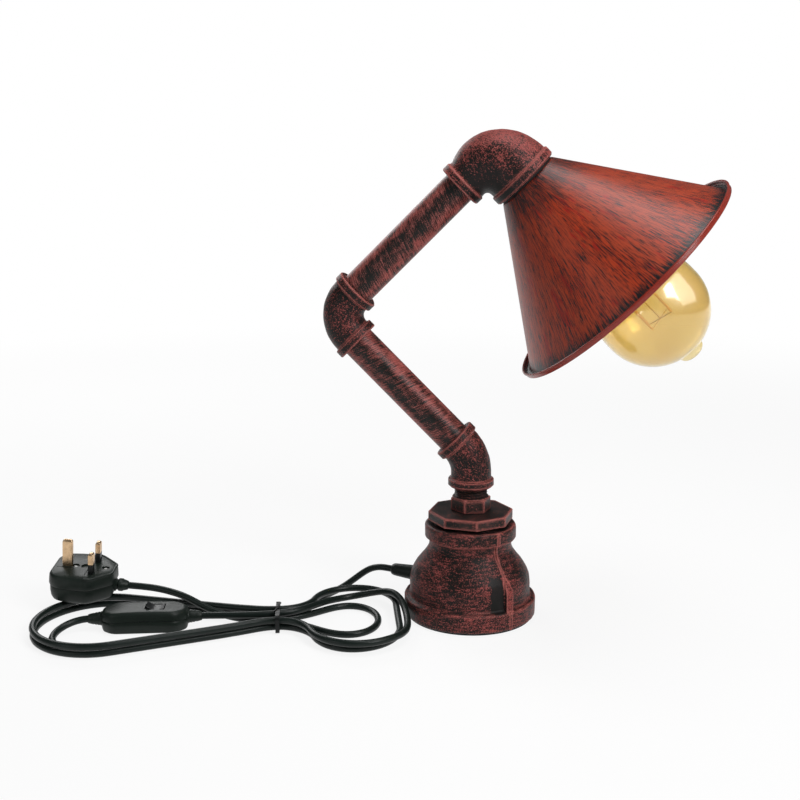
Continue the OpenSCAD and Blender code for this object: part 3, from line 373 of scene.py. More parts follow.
FOOT = casting("foot_iron", None, (0.28, 0.28, 1.4), 0.52, 0.0022, -0.06, rib_marks)
LOW_ELBOW = casting("low_elbow_iron", LOWER, (1, 1, 0.45), 0.43, 0.0020, 0.06)
MID_ELBOW = casting("mid_elbow_iron", UPPER, (1, 1, 0.6), 0.39, 0.0020, 0.06)
TOP_ELBOW = casting("top_elbow_iron", HEAD, (1, 1, 0.5), 0.38, 0.0020, 0.42)
FITTING = casting("fitting_iron", None, (1, 1, 1), 0.24, 0.0036, 0.0, thread_marks, BROWN_GROUND)
LOW_PIPE = pipe("low_pipe_paint", LOWER)
UP_PIPE = pipe("up_pipe_paint", UPPER)
SHADE = lampshade("shade_paint")
BLACK_PLASTIC = plastic("black_plastic", (0.009, 0.014, 0.011, 1), 0.40)
CORD_PVC = plastic("cord_pvc", (0.007, 0.012, 0.010, 1), 0.34, 900, 0.00003)
ROCKER = plastic("rocker_plastic", (0.008, 0.009, 0.009, 1), 0.3)
RUBBER = plastic("pad_rubber", (0.012, 0.012, 0.012, 1), 0.7, 1200)
HOLDER = plastic("holder_black", (0.018, 0.018, 0.019, 1), 0.3)
PORCELAIN = plastic("porcelain", (0.72, 0.70, 0.64, 1), 0.2, 300)
FUSE = plastic("fuse_ceramic", (0.66, 0.60, 0.48, 1), 0.3, 300)
STEEL = bright_metal("steel", (0.58, 0.58, 0.56, 1), 0.3, (1, 1, 6))
BRASS = bright_metal("brass", (0.70, 0.50, 0.20, 1), 0.28)
PIN_BRASS = bright_metal("pin_brass", (0.72, 0.50, 0.30, 1), 0.3, (1, 1, 0.2))
AMBER = thin_glass("amber_glass", (0.97, 0.875, 0.62, 1), 1.6, 0.15, 0.05)
CLEAR = thin_glass("clear_glass", (0.95, 0.90, 0.78, 1), 1.45, 0.12)
FILAMENT = plastic("filament", (0.80, 0.52, 0.20, 1), 0.6)
WIRE = plastic("support_wire", (0.80, 0.64, 0.38, 1), 0.5)
CORE = plastic("core_brown", (0.10, 0.05, 0.03, 1), 0.4)

# The solids that stay in view, or stay hidden inside, by material.
DRESS = [
    (RUBBER, "foot_pad", "shade_washer"),
    (STEEL, "foot_plate", "rod_nut", "terminal_screws", "bulb_contact", "rocker_pin", "switch_screws"),
    (BRASS, "mouth_bush", "hollow_rod", "screw_shell", "centre_contact", "bulb_cap", "switch_contacts",
     "fuse_clips"),
    (LOW_PIPE, "lower_pipe"), (UP_PIPE, "upper_pipe"),
    (HOLDER, "holder_cap", "holder_skirt"), (PORCELAIN, "holder_insert"), (CORE, "holder_cores"),
    (CLEAR, "bulb_stem"), (FILAMENT, "bulb_filaments"), (WIRE, "bulb_supports"), (ROCKER, "bulb_insulator"),
    (CORD_PVC, "foot_flex", "lower_flex", "upper_flex", "head_flex"),
    (BLACK_PLASTIC, "relief_nut", "cord_clamp"), (FUSE, "plug_fuse"),
]
for material, *names in DRESS:
    for name in names:
        NODES[name].data.materials.clear()
        NODES[name].data.materials.append(material)


# ---- mesh building ----
def piece(name, verts, faces, material, body, slot, place=None, stands_for=(), sharp=32):
    """A mesh in millimetres of its own frame, put in the row frame, riding on a body."""
    mesh = bpy.data.meshes.new(name)
    mesh.from_pydata([tuple(Vector(v) * MM) for v in verts], [], faces)
    bm = bmesh.new()
    bm.from_mesh(mesh)
    bmesh.ops.remove_doubles(bm, verts=bm.verts, dist=1e-6)
    bmesh.ops.recalc_face_normals(bm, faces=bm.faces)
    bm.to_mesh(mesh)
    bm.free()
    if place is not None:
        mesh.transform(place)
    mesh.shade_smooth()
    mesh.set_sharp_from_angle(angle=math.radians(sharp))
    mesh.materials.append(material)
    made = placed(name, mesh)
    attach(made, body)
    if stands_for:
        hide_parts(*stands_for)
    return made


def skin(rings, closed=False, capped=True):
    """Vertices and faces of a surface through rings of points."""
    n, count = len(rings[0]), len(rings)
    verts = [v for ring in rings for v in ring]
    faces = [(i * n + j, i * n + (j + 1) % n, (i + 1) % count * n + (j + 1) % n, (i + 1) % count * n + j)
             for i in range(count if closed else count - 1) for j in range(n)]
    if capped and not closed:
        faces.append(tuple(range(n))[::-1])
        faces.append(tuple((count - 1) * n + j for j in range(n)))
    return verts, faces


def merged(*parts):
    """Several (verts, faces) pairs as one."""
    verts, faces = [], []
    for v, f in parts:
        base = len(verts)
        verts += list(v)
        faces += [tuple(base + i for i in face) for face in f]
    return verts, faces


def turned(profile, sides=128):
    """Surface of revolution about Z through (radius, z) points; a radius of 0 closes it."""
    rings = [[(r * math.cos(2 * math.pi * j / sides), r * math.sin(2 * math.pi * j / sides), z)
              for j in range(sides)] for r, z in profile if r > 1e-6]
    verts, faces = skin(rings, capped=False)
    for end, ring, flip in ((profile[0], 0, False), (profile[-1], len(rings) - 1, True)):
        if end[0] <= 1e-6:
            verts.append((0, 0, end[1]))
            base = ring * sides
            for j in range(sides):
                a, b = base + j, base + (j + 1) % sides
                faces.append((a, b, len(verts) - 1) if flip else (b, a, len(verts) - 1))
    return verts, faces


def block(x0, x1, y0, y1, z0, z1):
    """An upright box, as vertices and faces."""
    verts = [(x, y, z) for z in (z0, z1) for x, y in rectangle(x0, x1, y0, y1)]
    faces = [(3, 2, 1, 0), (4, 5, 6, 7), (0, 1, 5, 4), (1, 2, 6, 5), (2, 3, 7, 6), (3, 0, 4, 7)]
    return verts, faces


def rectangle(x0, x1, y0, y1):
    return [(x0, y0), (x1, y0), (x1, y1), (x0, y1)]


def corner(a, b, c, radius, steps):
    """The points of a rounded corner at b, between a and c."""
    a, b, c = Vector(a), Vector(b), Vector(c)
    r = min(radius, 0.45 * (a - b).length, 0.45 * (c - b).length)
    p, q = b + (a - b).normalized() * r, b + (c - b).normalized() * r
    return [tuple((1 - t) ** 2 * p + 2 * t * (1 - t) * b + t * t * q)
            for t in (k / steps for k in range(steps + 1))]


def rounded(profile, radius, steps=4):
    """An open profile with its corners rounded."""
    made = [profile[0]]
    for a, b, c in zip(profile, profile[1:], profile[2:]):
        made += corner(a, b, c, radius, steps)
    return made + [profile[-1]]


def smooth(route, steps):
    """Uniform cubic B-spline that starts and ends at the route's ends."""
    q = [2 * route[0] - route[1], *route, 2 * route[-1] - route[-2]]
    made = []
    for a, b, c, d in zip(q, q[1:], q[2:], q[3:]):
        for k in range(steps):
            t = k / steps
            made.append(((1 - t) ** 3 * a + (3 * t ** 3 - 6 * t * t + 4) * b
                         + (-3 * t ** 3 + 3 * t * t + 3 * t + 1) * c + t ** 3 * d) / 6)
    return made + [route[-1]]


def smooth_flat(points, steps):
    return [(p.x, p.y) for p in smooth([Vector((a, b, 0)) for a, b in points], steps)]


def roughen(made, amount, scale, seed):
    """Small unevenness of a casting, along the normals, in millimetres."""
    mesh = made.data
    shift = Vector((seed, seed * 0.37, -seed))
    moves = [noise.fractal(v.co * scale + shift, 1.0, 2.0, 3) * amount * MM for v in mesh.vertices]
    for v, n, m in zip(mesh.vertices, [v.normal.copy() for v in mesh.vertices], moves):
        v.co += n * m


def cut(made, verts, faces, place):
    """Cuts a closed mesh, in millimetres of its own frame, out of a piece."""
    mesh = bpy.data.meshes.new("cutter")
    mesh.from_pydata([tuple(Vector(v) * MM) for v in verts], [], faces)
    mesh.transform(place)
    tool = placed("cutter", mesh)
    step = made.modifiers.new("cut", "BOOLEAN")
    step.object = tool
    step.operation = "DIFFERENCE"
    step.solver = "EXACT"
    step.use_self = True
    step.use_hole_tolerant = True
    bpy.context.view_layer.update()
    result = bpy.data.meshes.new_from_object(made.evaluated_get(bpy.context.evaluated_depsgraph_get()))
    made.modifiers.remove(step)
    old = made.data
    made.data = result
    result.name = made.name
    bpy.data.meshes.remove(old)
    bpy.data.objects.remove(tool)
    bpy.data.meshes.remove(mesh)


# ---- castings ----
MOUTH_R, BODY_R, BAND_R, BAND_T, BEVEL = 13.6, 16.2, 18.4, 6.6, 0.7


def collar(bevel):
    """(distance in from the mouth, radius) points of an elbow's end: bore, band and fillet."""
    return [(2.5, MOUTH_R), (0, MOUTH_R), (0, BAND_R - bevel), (bevel, BAND_R), (BAND_T - 0.5, BAND_R),
            (BAND_T, BAND_R - 0.5), (BAND_T + 0.15, BODY_R + 1.1), (BAND_T + 0.5, BODY_R + 0.3),
            (BAND_T + 1.2, BODY_R)]


def circle(centre, u, r, sides=96):
    """A ring of points about centre, from u towards +Y."""
    return [centre + u * (r * math.cos(2 * math.pi * j / sides))
            + Vector((0, r * math.sin(2 * math.pi * j / sides), 0)) for j in range(sides)]


def elbow(name, material, body, stands_for, place, side, reach, in_bevel, angle, bend_r, steps, seed):
    """An elbow that comes in along +Z of its frame and turns towards side (-1: -X, 1: +X).

    reach gives how far its two mouths are from where their axes cross, in_bevel the lower mouth's bevel.
    """
    tangent = bend_r * math.tan(math.radians(angle / 2))
    pivot = Vector((side * bend_r, 0, -tangent))
    end_turn = math.radians(angle)
    way_out = Vector((side * math.sin(end_turn), 0, math.cos(end_turn)))

    def ring(centre, turn, r):
        return circle(centre, Vector((math.cos(turn), 0, -side * math.sin(turn))), r)

    rings = [ring(Vector((0, 0, d - reach[0])), 0, r) for d, r in collar(in_bevel)]
    for k in range(steps + 1):
        turn = end_turn * k / steps
        at = pivot + Vector((-side * bend_r * math.cos(turn), 0, bend_r * math.sin(turn)))
        rings.append(ring(at, turn, BODY_R))
    rings += [ring(way_out * (reach[1] - d), end_turn, r) for d, r in collar(BEVEL)[::-1]]
    made = piece(name, *skin(rings, capped=False), material, body, "red_casting", place, stands_for)
    roughen(made, 0.22, 160, seed)


elbow("low_elbow", LOW_ELBOW, "lower_arm", ["lower_elbow"], Matrix.Translation(LOW_AT), -1,
      (25, 20.5), 1.6, 45, 33, 20, 1.0)
elbow("mid_elbow", MID_ELBOW, "upper_arm", ["middle_elbow"], LOWER @ Matrix.Translation((0, 0, LOWER_RUN)), 1,
      (30, 30), BEVEL, 90, 22, 32, 2.0)


def shade_elbow():
    """Grows from the pipe to the shade about a pivot line at its inner corner."""
    steps, small, big, crotch, bulge = 40, 17.4, 26.5, 4.0, 1.5
    pivot = Vector((crotch + small, 0, -(crotch + big)))
    pipe_end = [(-37, MOUTH_R), (-39.8, MOUTH_R), (-39.8, 17.9), (-39.1, 18.6), (-33.8, 18.6), (-33.2, 18.1),
                (-33.0, 17.7), (-32.2, small)]
    shade_end = [(23.6, big), (24.1, big + 0.5), (24.3, big + 1.0), (24.9, 28), (30.4, 28), (31.5, 26.9),
                 (31.5, 20.5), (29, 20.5)]
    rings = [circle(Vector((0, 0, z)), Vector((-1, 0, 0)), r) for z, r in pipe_end]
    for k in range(steps + 1):
        turn = math.pi / 2 * k / steps
        r = small + (big - small) * k / steps + bulge * math.sin(2 * turn)
        u = Vector((-math.cos(turn), 0, math.sin(turn)))
        rings.append(circle(pivot + u * (crotch + r), u, r))
    rings += [circle(Vector((x, 0, 0)), Vector((0, 0, 1)), r) for x, r in shade_end]
    made = piece("top_elbow", *skin(rings, capped=False), TOP_ELBOW, "head", "red_casting", TOP, ["upper_elbow"])
    roughen(made, 0.25, 130, 3.0)


shade_elbow()

FOOT_PROFILE = rounded([(44.3, 5.5), (44.3, 1.5), (52.8, 1.5), (53.7, 2.6), (53.7, 15.3), (52.5, 16.5), (50.2, 16.7),
                        (49, 18.0), (49.1, 27), (48.6, 33), (46.8, 38.0), (43.6, 43.4), (38.6, 49.8), (35.3, 54.4),
                        (33.7, 57.6), (33.3, 60.5), (33.3, 63.6), (34.2, 65.0), (36.0, 65.2), (37, 66.2), (37, 75.2),
                        (35.8, 77), (30.4, 77), (29.7, 76.3), (29.7, 66)], 1.6)
LOWER_BAND_R, BULGE_R = 53.65, 49.1
RIB_ROOT, RIB_EDGE = 4, 0.7
# (height, how far out of the casting, half width)
RIB_LEVELS = [(2, 0.3, 0.8), (15.6, 0.55, 0.8), (15.9, 3.2, 3.2), (16.6, 3.3, 3.3), (30, 3.3, 3.25),
              (34.5, 3.0, 3.1), (37.4, 2.2, 2.6), (39.2, 1.1, 1.5), (41.5, 0.75, 0.75), (50, 0.7, 0.65),
              (60, 0.7, 0.65), (64.4, 0.7, 0.65), (66.5, 0.75, 0.7), (75.5, 0.7, 0.7), (76.0, 0.1, 0.6)]


def foot_radius(z):
    """The radius of the casting that a rib stands on at height z."""
    if z < 15.8:
        return LOWER_BAND_R
    if z < 16.4:
        return BULGE_R
    for (r0, z0), (r1, z1) in zip(FOOT_PROFILE[2:], FOOT_PROFILE[3:]):
        if z0 <= z <= z1 and z1 > z0:
            r = r0 + (r1 - r0) * (z - z0) / (z1 - z0)
            return min(r, BULGE_R) if z < 40 else r


def foot_rib(angle):
    """A moulding rib on the bulge, and the thin fin above it, standing at an angle."""
    turn = spin(angle)
    rings = []
    for z, out, half in RIB_LEVELS:
        base = foot_radius(z)
        r = base + out
        deep = base - RIB_ROOT
        round_ = min(RIB_EDGE, half * 0.6, out * 0.9)
        rings.append([turn @ Vector((x, y, z)) for x, y in (
            (deep, -half), (r - round_, -half), (r - 0.3 * round_, -half + 0.3 * round_), (r, -half + round_),
            (r, half - round_), (r - 0.3 * round_, half - 0.3 * round_), (r - round_, half), (deep, half))])
    return skin(rings)


foot = piece("foot_casting", *merged(turned(FOOT_PROFILE, 192), *map(foot_rib, RIB_ANGLES)), FOOT, "base",
             "red_casting", None, ["foot_socket"])
roughen(foot, 0.28, 120, 4.0)


def thread(r_out, depth, pitch, z0, z1, sides=72):
    """Helical thread surface, as rings of a grid that follows the pitch."""
    rows = int((z1 - z0) / pitch * 12)
    rings = []
    for i in range(rows + 1):
        z = z0 + (z1 - z0) * i / rows
        ring = []
        for j in range(sides):
            a = 2 * math.pi * j / sides
            t = ((z - z0) / pitch - a / (2 * math.pi)) % 1
            r = r_out - depth * (1 - abs(2 * t - 1)) ** 0.8
            ring.append((r * math.cos(a), r * math.sin(a), z))
        rings.append(ring)
    return skin(rings, capped=False)


def prism(corner_r, sides, z0, z1, degrees, bevel):
    """A nut's body with bevelled ends, turned by some degrees."""
    turn = math.radians(degrees)
    return skin([[(r * math.cos(turn + 2 * math.pi * k / sides), r * math.sin(turn + 2 * math.pi * k / sides), z)
                  for k in range(sides)]
                 for r, z in ((corner_r - bevel, z0), (corner_r, z0 + bevel), (corner_r, z1 - bevel),
                              (corner_r - bevel, z1))])


BUSHING_Z, NIPPLE_Z = 79, 87.4
SMALL_PITCH, LARGE_PITCH, THREAD_DEPTH = 1.814, 2.309, 1.2
piece("nipple_casting", *merged(
    prism(16.3, 6, NIPPLE_Z, NIPPLE_TOP, 15, 0.7),
    turned([(0, NIPPLE_TOP), (15.0, NIPPLE_TOP), (14.2, 99.5), (12.9, 99.7)], 96),
    thread(13.3, THREAD_DEPTH, SMALL_PITCH, 99.0, 109.5)), FITTING, "base", "dark_steel", None, ["hex_nipple"], 25)
piece("bushing_casting", *merged(
    prism(34.5, 8, BUSHING_Z, NIPPLE_Z, 11.5, 0.6),
    thread(29.6, THREAD_DEPTH, LARGE_PITCH, 66, 79.2, 144)), FITTING, "base", "brown_casting", None,
      ["octagon_bushing"], 25)


# ---- shade and bulb ----
def shade_mesh():
    """Thin cone with a stepped, rolled rim, as (radius, distance along the head's axis) points."""
    cone_r, top_r, hole_r, t, s0, rim = 100.0, 26.3, 5.05, 0.8, 33.1, 142.1
    slope = t * 1.2
    lip, lip_s, bead_r = cone_r + 5.2, rim - 3.4, 1.1
    outer = rounded([(hole_r, s0), (top_r - 1.0, s0), (top_r, s0 + 1.3), (cone_r, rim - t), (lip - t, rim - t),
                     (lip - t, lip_s + 0.5)], 1.2, 5)
    inner = rounded([(lip, lip_s + 0.5), (lip, rim - 0.3), (lip - 0.5, rim), (cone_r - slope + 0.8, rim),
                     (cone_r - slope, rim - 0.8), (top_r - slope, s0 + t + 1), (top_r - slope - 1.2, s0 + t),
                     (hole_r, s0 + t)], 0.9, 5)
    bead = [(lip - 0.4 - bead_r * math.cos(turn), lip_s - bead_r * math.sin(turn))
            for turn in (math.radians(k * 15) for k in range(13))]
    return turned(outer + bead + inner, 256)


piece("shade_spun", *shade_mesh(), SHADE, "head", "red_sheet", HEAD, ["shade"], 40)


def bulb_mesh():
    """Blown globe with a pip at its end, open at its neck."""
    globe_r, glass, neck, neck_s, end = 44.0, 1, 16.5, 106.4, 218.4
    centre = end - globe_r

    def arc(r, angles):
        return [(r * math.sin(a), centre + r * math.cos(a)) for a in map(math.radians, angles)]

    globe = arc(globe_r, range(18, 91, 3))
    back = smooth_flat([globe[-1], (globe_r, centre - 7), (0.985 * globe_r, centre - 15),
                        (0.9 * globe_r, centre - 25), (neck + 14, neck_s + 31), (neck + 6, neck_s + 17),
                        (neck + 1.6, neck_s + 8), (neck, neck_s)], 8)
    pip = smooth_flat([(0, end + 5.6), (4, end + 5.5), (7.4, end + 4.4), (9.8, end + 2.6), (10.9, end + 0.2),
                       (11.6, end - 1.7), globe[0]], 6)
    outer = pip[:-1] + globe[:-1] + back
    inner = [(neck - glass, neck_s)] + [(r - glass, z) for r, z in back[::-1][1:-1]]
    inner += arc(globe_r - glass, range(90, 0, -3)) + [(0, end - glass)]
    return turned(outer + inner, 128)


bulb = piece("bulb_blown", *bulb_mesh(), AMBER, "bulb", "amber_glass", HEAD, ["bulb_glass"], 60)


# ---- floor and light ----
def make_floor():
    """White paper that looks plain white far from the lamp."""
    half, gap = 6.0, 0.0002
    mesh = bpy.data.meshes.new("floor")
    mesh.from_pydata([(x, y, 0) for x, y in rectangle(-half, half, -half, half)], [], [(0, 1, 2, 3)])
    floor = placed("floor", mesh)
    floor.location.z = -gap
    p = Paint("floor_paper")
    grain = p.noise(p.coords(), 400, 2)
    p.set(colour=p.mix(grain, grey(0.90), grey(0.92)), rough=0.9, specular=0.1)
    path = p.tree.nodes.new("ShaderNodeLightPath")
    seen = p.math("MAXIMUM", path.outputs["Is Camera Ray"],
                  p.math("MAXIMUM", path.outputs["Is Glossy Ray"], path.outputs["Is Transmission Ray"]))
    away = p.add("VectorMath", "Value", operation="LENGTH", inputs={0: p.coords()})
    lift = p.math("MULTIPLY", seen, p.range(away, 0.5, 1.8, 0.86, 1.0))
    p.put(p.blend(lift, p.bsdf.outputs[0], p.add("Emission")), p.out.inputs[0])
    floor.data.materials.append(p.mat)


def make_world():
    """Dim light from all round, behind a background that is seen as white."""
    world = bpy.data.worlds.new("studio")
    bpy.context.scene.world = world
    world.use_nodes = True
    tree = world.node_tree
    tree.nodes.clear()
    out, dim, bright, path, either, mixer = [tree.nodes.new("ShaderNode" + kind) for kind in (
        "OutputWorld", "Background", "Background", "LightPath", "Math", "MixShader")]
    dim.inputs["Color"].default_value = (0.95, 0.97, 1.0, 1)
    dim.inputs["Strength"].default_value = 0.11
    bright.inputs["Color"].default_value = grey(1)
    either.operation = "MAXIMUM"
    for start, end in ((path.outputs["Is Camera Ray"], either.inputs[0]),
                       (path.outputs["Is Transmission Ray"], either.inputs[1]),
                       (either.outputs[0], mixer.inputs[0]),
                       (dim.outputs[0], mixer.inputs[1]),
                       (bright.outputs[0], mixer.inputs[2]),
                       (mixer.outputs[0], out.inputs[0])):
        tree.links.new(start, end)


make_floor()
make_world()
area_light("key", (0.92, -0.84, 1.05), (0.02, 0, 0.22), (0.5, 0.65), 13.5)
area_light("fill", (-0.9, -0.9, 0.55), (-0.02, 0, 0.2), (0.5, 0.7), 1.6)
area_light("top", (0.18, -0.02, 1.35), (0.13, 0.0, 0.2), (0.6, 0.7), 7)
area_light("back", (-0.75, 1.0, 0.75), (0.0, 0.0, 0.2), (0.8, 0.6), 6)
only_bulb = bpy.data.collections.new("only_bulb")
only_bulb.objects.link(bulb)
for light in (area_light("bulb_right", (1.02, -0.24, 0.87), (0.15, 0, 0.25), (0.8, 0.8), 6),
              area_light("bulb_left", (-0.40, -0.93, 0.24), (0.15, 0, 0.25), (0.5, 0.32), 2)):
    light.light_linking.receiver_collection = only_bulb


# ---- cord ----
CORD_R = 2.8 * MM
HANK_AT = Vector((-150, -50, 0)) * MM
HANK_TURN = 11
# How far apart the hank's strands lie, sideways and one above the other.
STRAND_STEP = 6.3


def unit(v):
    return v / v.length


def hank_place(p):
    """A point of the hank's own frame, given in millimetres, in the row frame in metres."""
    x, y, z = p
    c, s = math.cos(math.radians(HANK_TURN)), math.sin(math.radians(HANK_TURN))
    return HANK_AT + Vector((x * c - y * s, x * s + y * c, z)) * MM


def along(pose, size, turn, f=1):
    """A pose (x, y, heading) moved on by a share of a line of some length or an arc of some radius."""
    x, y, h = pose
    if turn == 0:
        return (x + size * f * math.cos(h), y + size * f * math.sin(h), h)
    r = math.copysign(size, turn)
    h2 = h + math.radians(turn) * f
    return (x - r * math.sin(h) + r * math.sin(h2), y + r * math.cos(h) - r * math.cos(h2), h2)


def make_loop():
    """The stretches (rings, size, turn) of one turn of the hank, and its first pose.

    The sizes are those of the part's source: radii r1 and r2 right of the waist, l1 and l2 left of it.
    """
    waist, r1, r2, splay = 8.2, 32.0, 33.0, 74.0
    l1, l2, fan = 60.0, 48.0, 18.0
    rad = math.radians
    rise = waist + r1 * (1 - math.cos(rad(splay)))
    flat = rise - r2 * math.cos(rad(splay))
    reach = r1 * math.sin(rad(splay)) + r2 * (1 + math.sin(rad(splay)))
    left_rise = waist + l1 * (1 - math.cos(rad(fan)))
    straight = (l2 * math.cos(rad(fan)) - left_rise) / math.sin(rad(fan))
    half = [(1, flat, 0), (4, r2, 90 + splay), (2, r1, -splay), (1, l1, -fan), (1, straight, 0), (3, l2, 90 + fan)]
    return half + half[::-1], (reach, 0.0, math.pi / 2)


LOOP, LOOP_START = make_loop()
LOOP_RINGS = sum(s[0] for s in LOOP)


def loop_pose(j):
    """The pose after j rings of the loop."""
    pose = LOOP_START
    for rings, size, turn in LOOP:
        if j <= rings:
            return along(pose, size, turn, j / rings)
        j -= rings
        pose = along(pose, size, turn)
    return pose


def smoothstep(a, b, x):
    t = min(1, max(0, (x - a) / (b - a)))
    return t * t * (3 - 2 * t)


def hank_point(turns):
    """The cord's middle after some turns: further out at both ends, one layer higher on the second turn."""
    x, y, h = loop_pose((turns % 1) * LOOP_RINGS)
    out = STRAND_STEP * math.sqrt((1 - turns) ** 2 + 0.0064)
    x, y = x + out * math.sin(h), y - out * math.cos(h)
    waist_rise = math.exp(-((x / 25) ** 2))
    z = CORD_R / MM + STRAND_STEP * smoothstep(0.82, 1.12, turns) + waist_rise
    return hank_place((x, y, z))


HANK_FROM, HANK_TO, HANK_STEPS = 0.185, 1.9, 330
HANK = [hank_point(HANK_FROM + (HANK_TO - HANK_FROM) * i / HANK_STEPS) for i in range(HANK_STEPS + 1)]
SHORT_WAY = 0.004
FIRST_WAY = unit(hank_point(HANK_FROM + SHORT_WAY) - HANK[0])
LAST_WAY = unit(HANK[-1] - hank_point(HANK_TO - SHORT_WAY))
RELIEF_TURN, RELIEF_Z, RELIEF_END = 160, 25, 71
RELIEF_WAY = Vector((math.cos(math.radians(RELIEF_TURN)), math.sin(math.radians(RELIEF_TURN)), 0))
RELIEF_TIP = RELIEF_WAY * RELIEF_END * MM + Vector((0, 0, RELIEF_Z * MM))

LEAD = ([RELIEF_TIP, RELIEF_TIP + 6 * MM * RELIEF_WAY, RELIEF_TIP + 12 * MM * RELIEF_WAY]
        + [Vector(p) * MM for p in [
            (-86, 31.5, 22.6), (-93, 33, 18), (-100.5, 32.5, 12), (-107.5, 30.5, 7), (-113.5, 26.5, 4),
            (-118.5, 21, 2.9), (-122, 14.5, 2.9)]]
        + [HANK[0] - 7 * MM * FIRST_WAY, HANK[0]])
SWITCH_AT = (-105, 4)
CORD_IN_Z = 9
SWITCH_LEAD = ([HANK[-1], HANK[-1] + 6 * MM * LAST_WAY]
               + [hank_place(p) for p in [
                   (98, -41, 8.2), (102, -27, 7.2), (103, -11, 7.2), (102.5, 4, 9.5), (100, 17, 13.5),
                   (94, 29, 15.6), (84, 38, 12.5), (72, 44.5, 8), (59, 45.5, 5.5), (47, 39.5, 6), (36, 27.5, 8.4),
                   (25, 12.5, 10.3), (13, 4, 10.2), (0, 1, 10.2), (-18, 0.5, 9.8), (-38, 2.5, 9.2), (-55, 4, 9),
                   (-61, 4, 9)]])
PLUG_AT = Vector((-318, -32, 14.1)) * MM
PLUG = Matrix.Translation(PLUG_AT) @ spin(6) @ spin(5, "Y") @ spin(6, "X")
PLUG_IN = PLUG @ (Vector((36, 0, 10)) * MM)
PLUG_IN_WAY = PLUG.to_3x3() @ Vector((1, 0, 0))
PLUG_LEAD = ([hank_place(p) for p in [
    (-149, 4, 9), (-155, 4, 8.6), (-164, 0.5, 7.2), (-171.5, -7.5, 5), (-174, -18, 3.4), (-171, -28.5, 2.9),
    (-163, -36.5, 2.9), (-152, -39.5, 2.9), (-139, -40, 2.9), (-125, -37.5, 2.9), (-108, -32.5, 2.9), (-90, -27.5, 2.9),
    (-70, -21, 2.9), (-50, -14.5, 2.9), (-30, -8, 3.1), (-15, -4, 3.6), (0, -2.5, 3.8), (15, -5, 3.6),
    (28, -14, 3.1), (41, -25, 2.9), (56, -30, 2.9), (70, -25, 2.9), (79, -12, 2.9), (81, 3, 2.9), (78, 17, 2.9),
    (69.5, 28.5, 2.9), (56, 33, 2.9), (42.5, 27.5, 2.9), (30, 18, 3), (16, 9, 3.5), (0, 4.5, 3.8),
    (-18, 5.7, 3.4), (-38, 10.8, 3.5), (-58, 18, 9.5), (-74, 27.5, 16), (-88, 36.3, 17.7), (-101, 42, 19)]]
    + [PLUG_IN + 12 * MM * PLUG_IN_WAY, PLUG_IN + 6 * MM * PLUG_IN_WAY, PLUG_IN])


# ---- plug, switch, tie and strain relief ----
def inset(plan, d):
    """A plan, given anticlockwise, moved inwards by d."""
    made = []
    for a, b, c in zip(plan[-1:] + plan[:-1], plan, plan[1:] + plan[:1]):
        a, b, c = Vector(a), Vector(b), Vector(c)
        before, after = (b - a).normalized(), (c - b).normalized()
        left = Vector((-before.y - after.y, before.x + after.x))
        made.append(tuple(b + left * (2 * d / left.length_squared)))
    return made


def round_plan(plan, radius, counts):
    """A plan with its corners rounded and its long sides divided, as counts says for later plans."""
    steps, gap = 5, 5.0
    made = []
    for a, b, c in zip(plan[-1:] + plan[:-1], plan, plan[1:] + plan[:1]):
        bend = corner(a, b, c, radius, steps)
        if made:
            last, first = Vector(made[-1]), Vector(bend[0])
            n = counts.setdefault(len(made), max(1, int((first - last).length / gap)))
            made += [tuple(last + (first - last) * k / n) for k in range(1, n)]
        made += bend
    return made


def stacked(plan, levels, radius):
    """Closed skin of rounded plans, each inset by d at height z."""
    counts = {}
    return skin([[(x, y, z) for x, y in round_plan(inset(plan, d), radius, counts)] for d, z in levels])


def shifted(made, x):
    verts, faces = made
    return [(vx + x, vy, vz) for vx, vy, vz in verts], faces


def pointed(made, at, way=1):
    """A mesh built along Z, laid along X (way -1: against it) from a point."""
    verts, faces = made
    return [(at[0] + way * z, at[1] + y, at[2] - x) for x, y, z in verts], faces


def half_turned(profile, upper, steps=16):
    """Half of a turned solid along Z, on the +X side or, if upper, on the -X side."""
    side = -1 if upper else 1
    rings = [[(r * side * math.sin(math.pi * k / steps), r * math.cos(math.pi * k / steps), z)
              for k in range(steps + 1)] for r, z in profile]
    return skin(rings)


def tube_along(points, radii, sides=10):
    """Closed tube along points."""
    turns = [2 * math.pi * j / sides for j in range(sides)]
    rings = []
    for k, (p, r) in enumerate(zip(points, radii)):
        way = (Vector(points[min(k + 1, len(points) - 1)]) - Vector(points[max(k - 1, 0)])).normalized()
        u = way.cross(Vector((0, 0, 1))).normalized()
        v = way.cross(u)
        rings.append([tuple(Vector(p) + r * (u * math.cos(a) + v * math.sin(a))) for a in turns])
    return skin(rings)


PLUG_HALF = [(-25, -13.75), (-22, -19.5), (-17, -23), (-6, -25), (8, -25), (13, -22), (27, -9)]
PLUG_PLAN = PLUG_HALF + [(x, -y) for x, y in PLUG_HALF[::-1]]
PLUG_TOP, ABOVE_PLUG = 24.0, 26
LINE_X, LINE_Y, EARTH_X = 9.0, 11.11, -13.2
PLUG_SCREWS, SLOT_TURNS = (-6.5, 18.0), (35, -20)
PLUG_SCREW = [(0, 12), (1.4, 12), (1.4, 20.6), (2.5, 20.6), (2.5, 22.4), (2.1, 22.9), (1.2, 23.2), (0, 23.3)]
PLUG_GRIP = [(0, 0), (5.6, 0), (5.6, 2.7), (5.1, 3.1), (4.3, 3.4), (4.3, 4.6), (4.9, 5.0), (5.3, 5.5), (5.2, 8.4),
             (4.7, 9.0), (3.8, 12.2), (3.4, 12.9), (0, 13)]


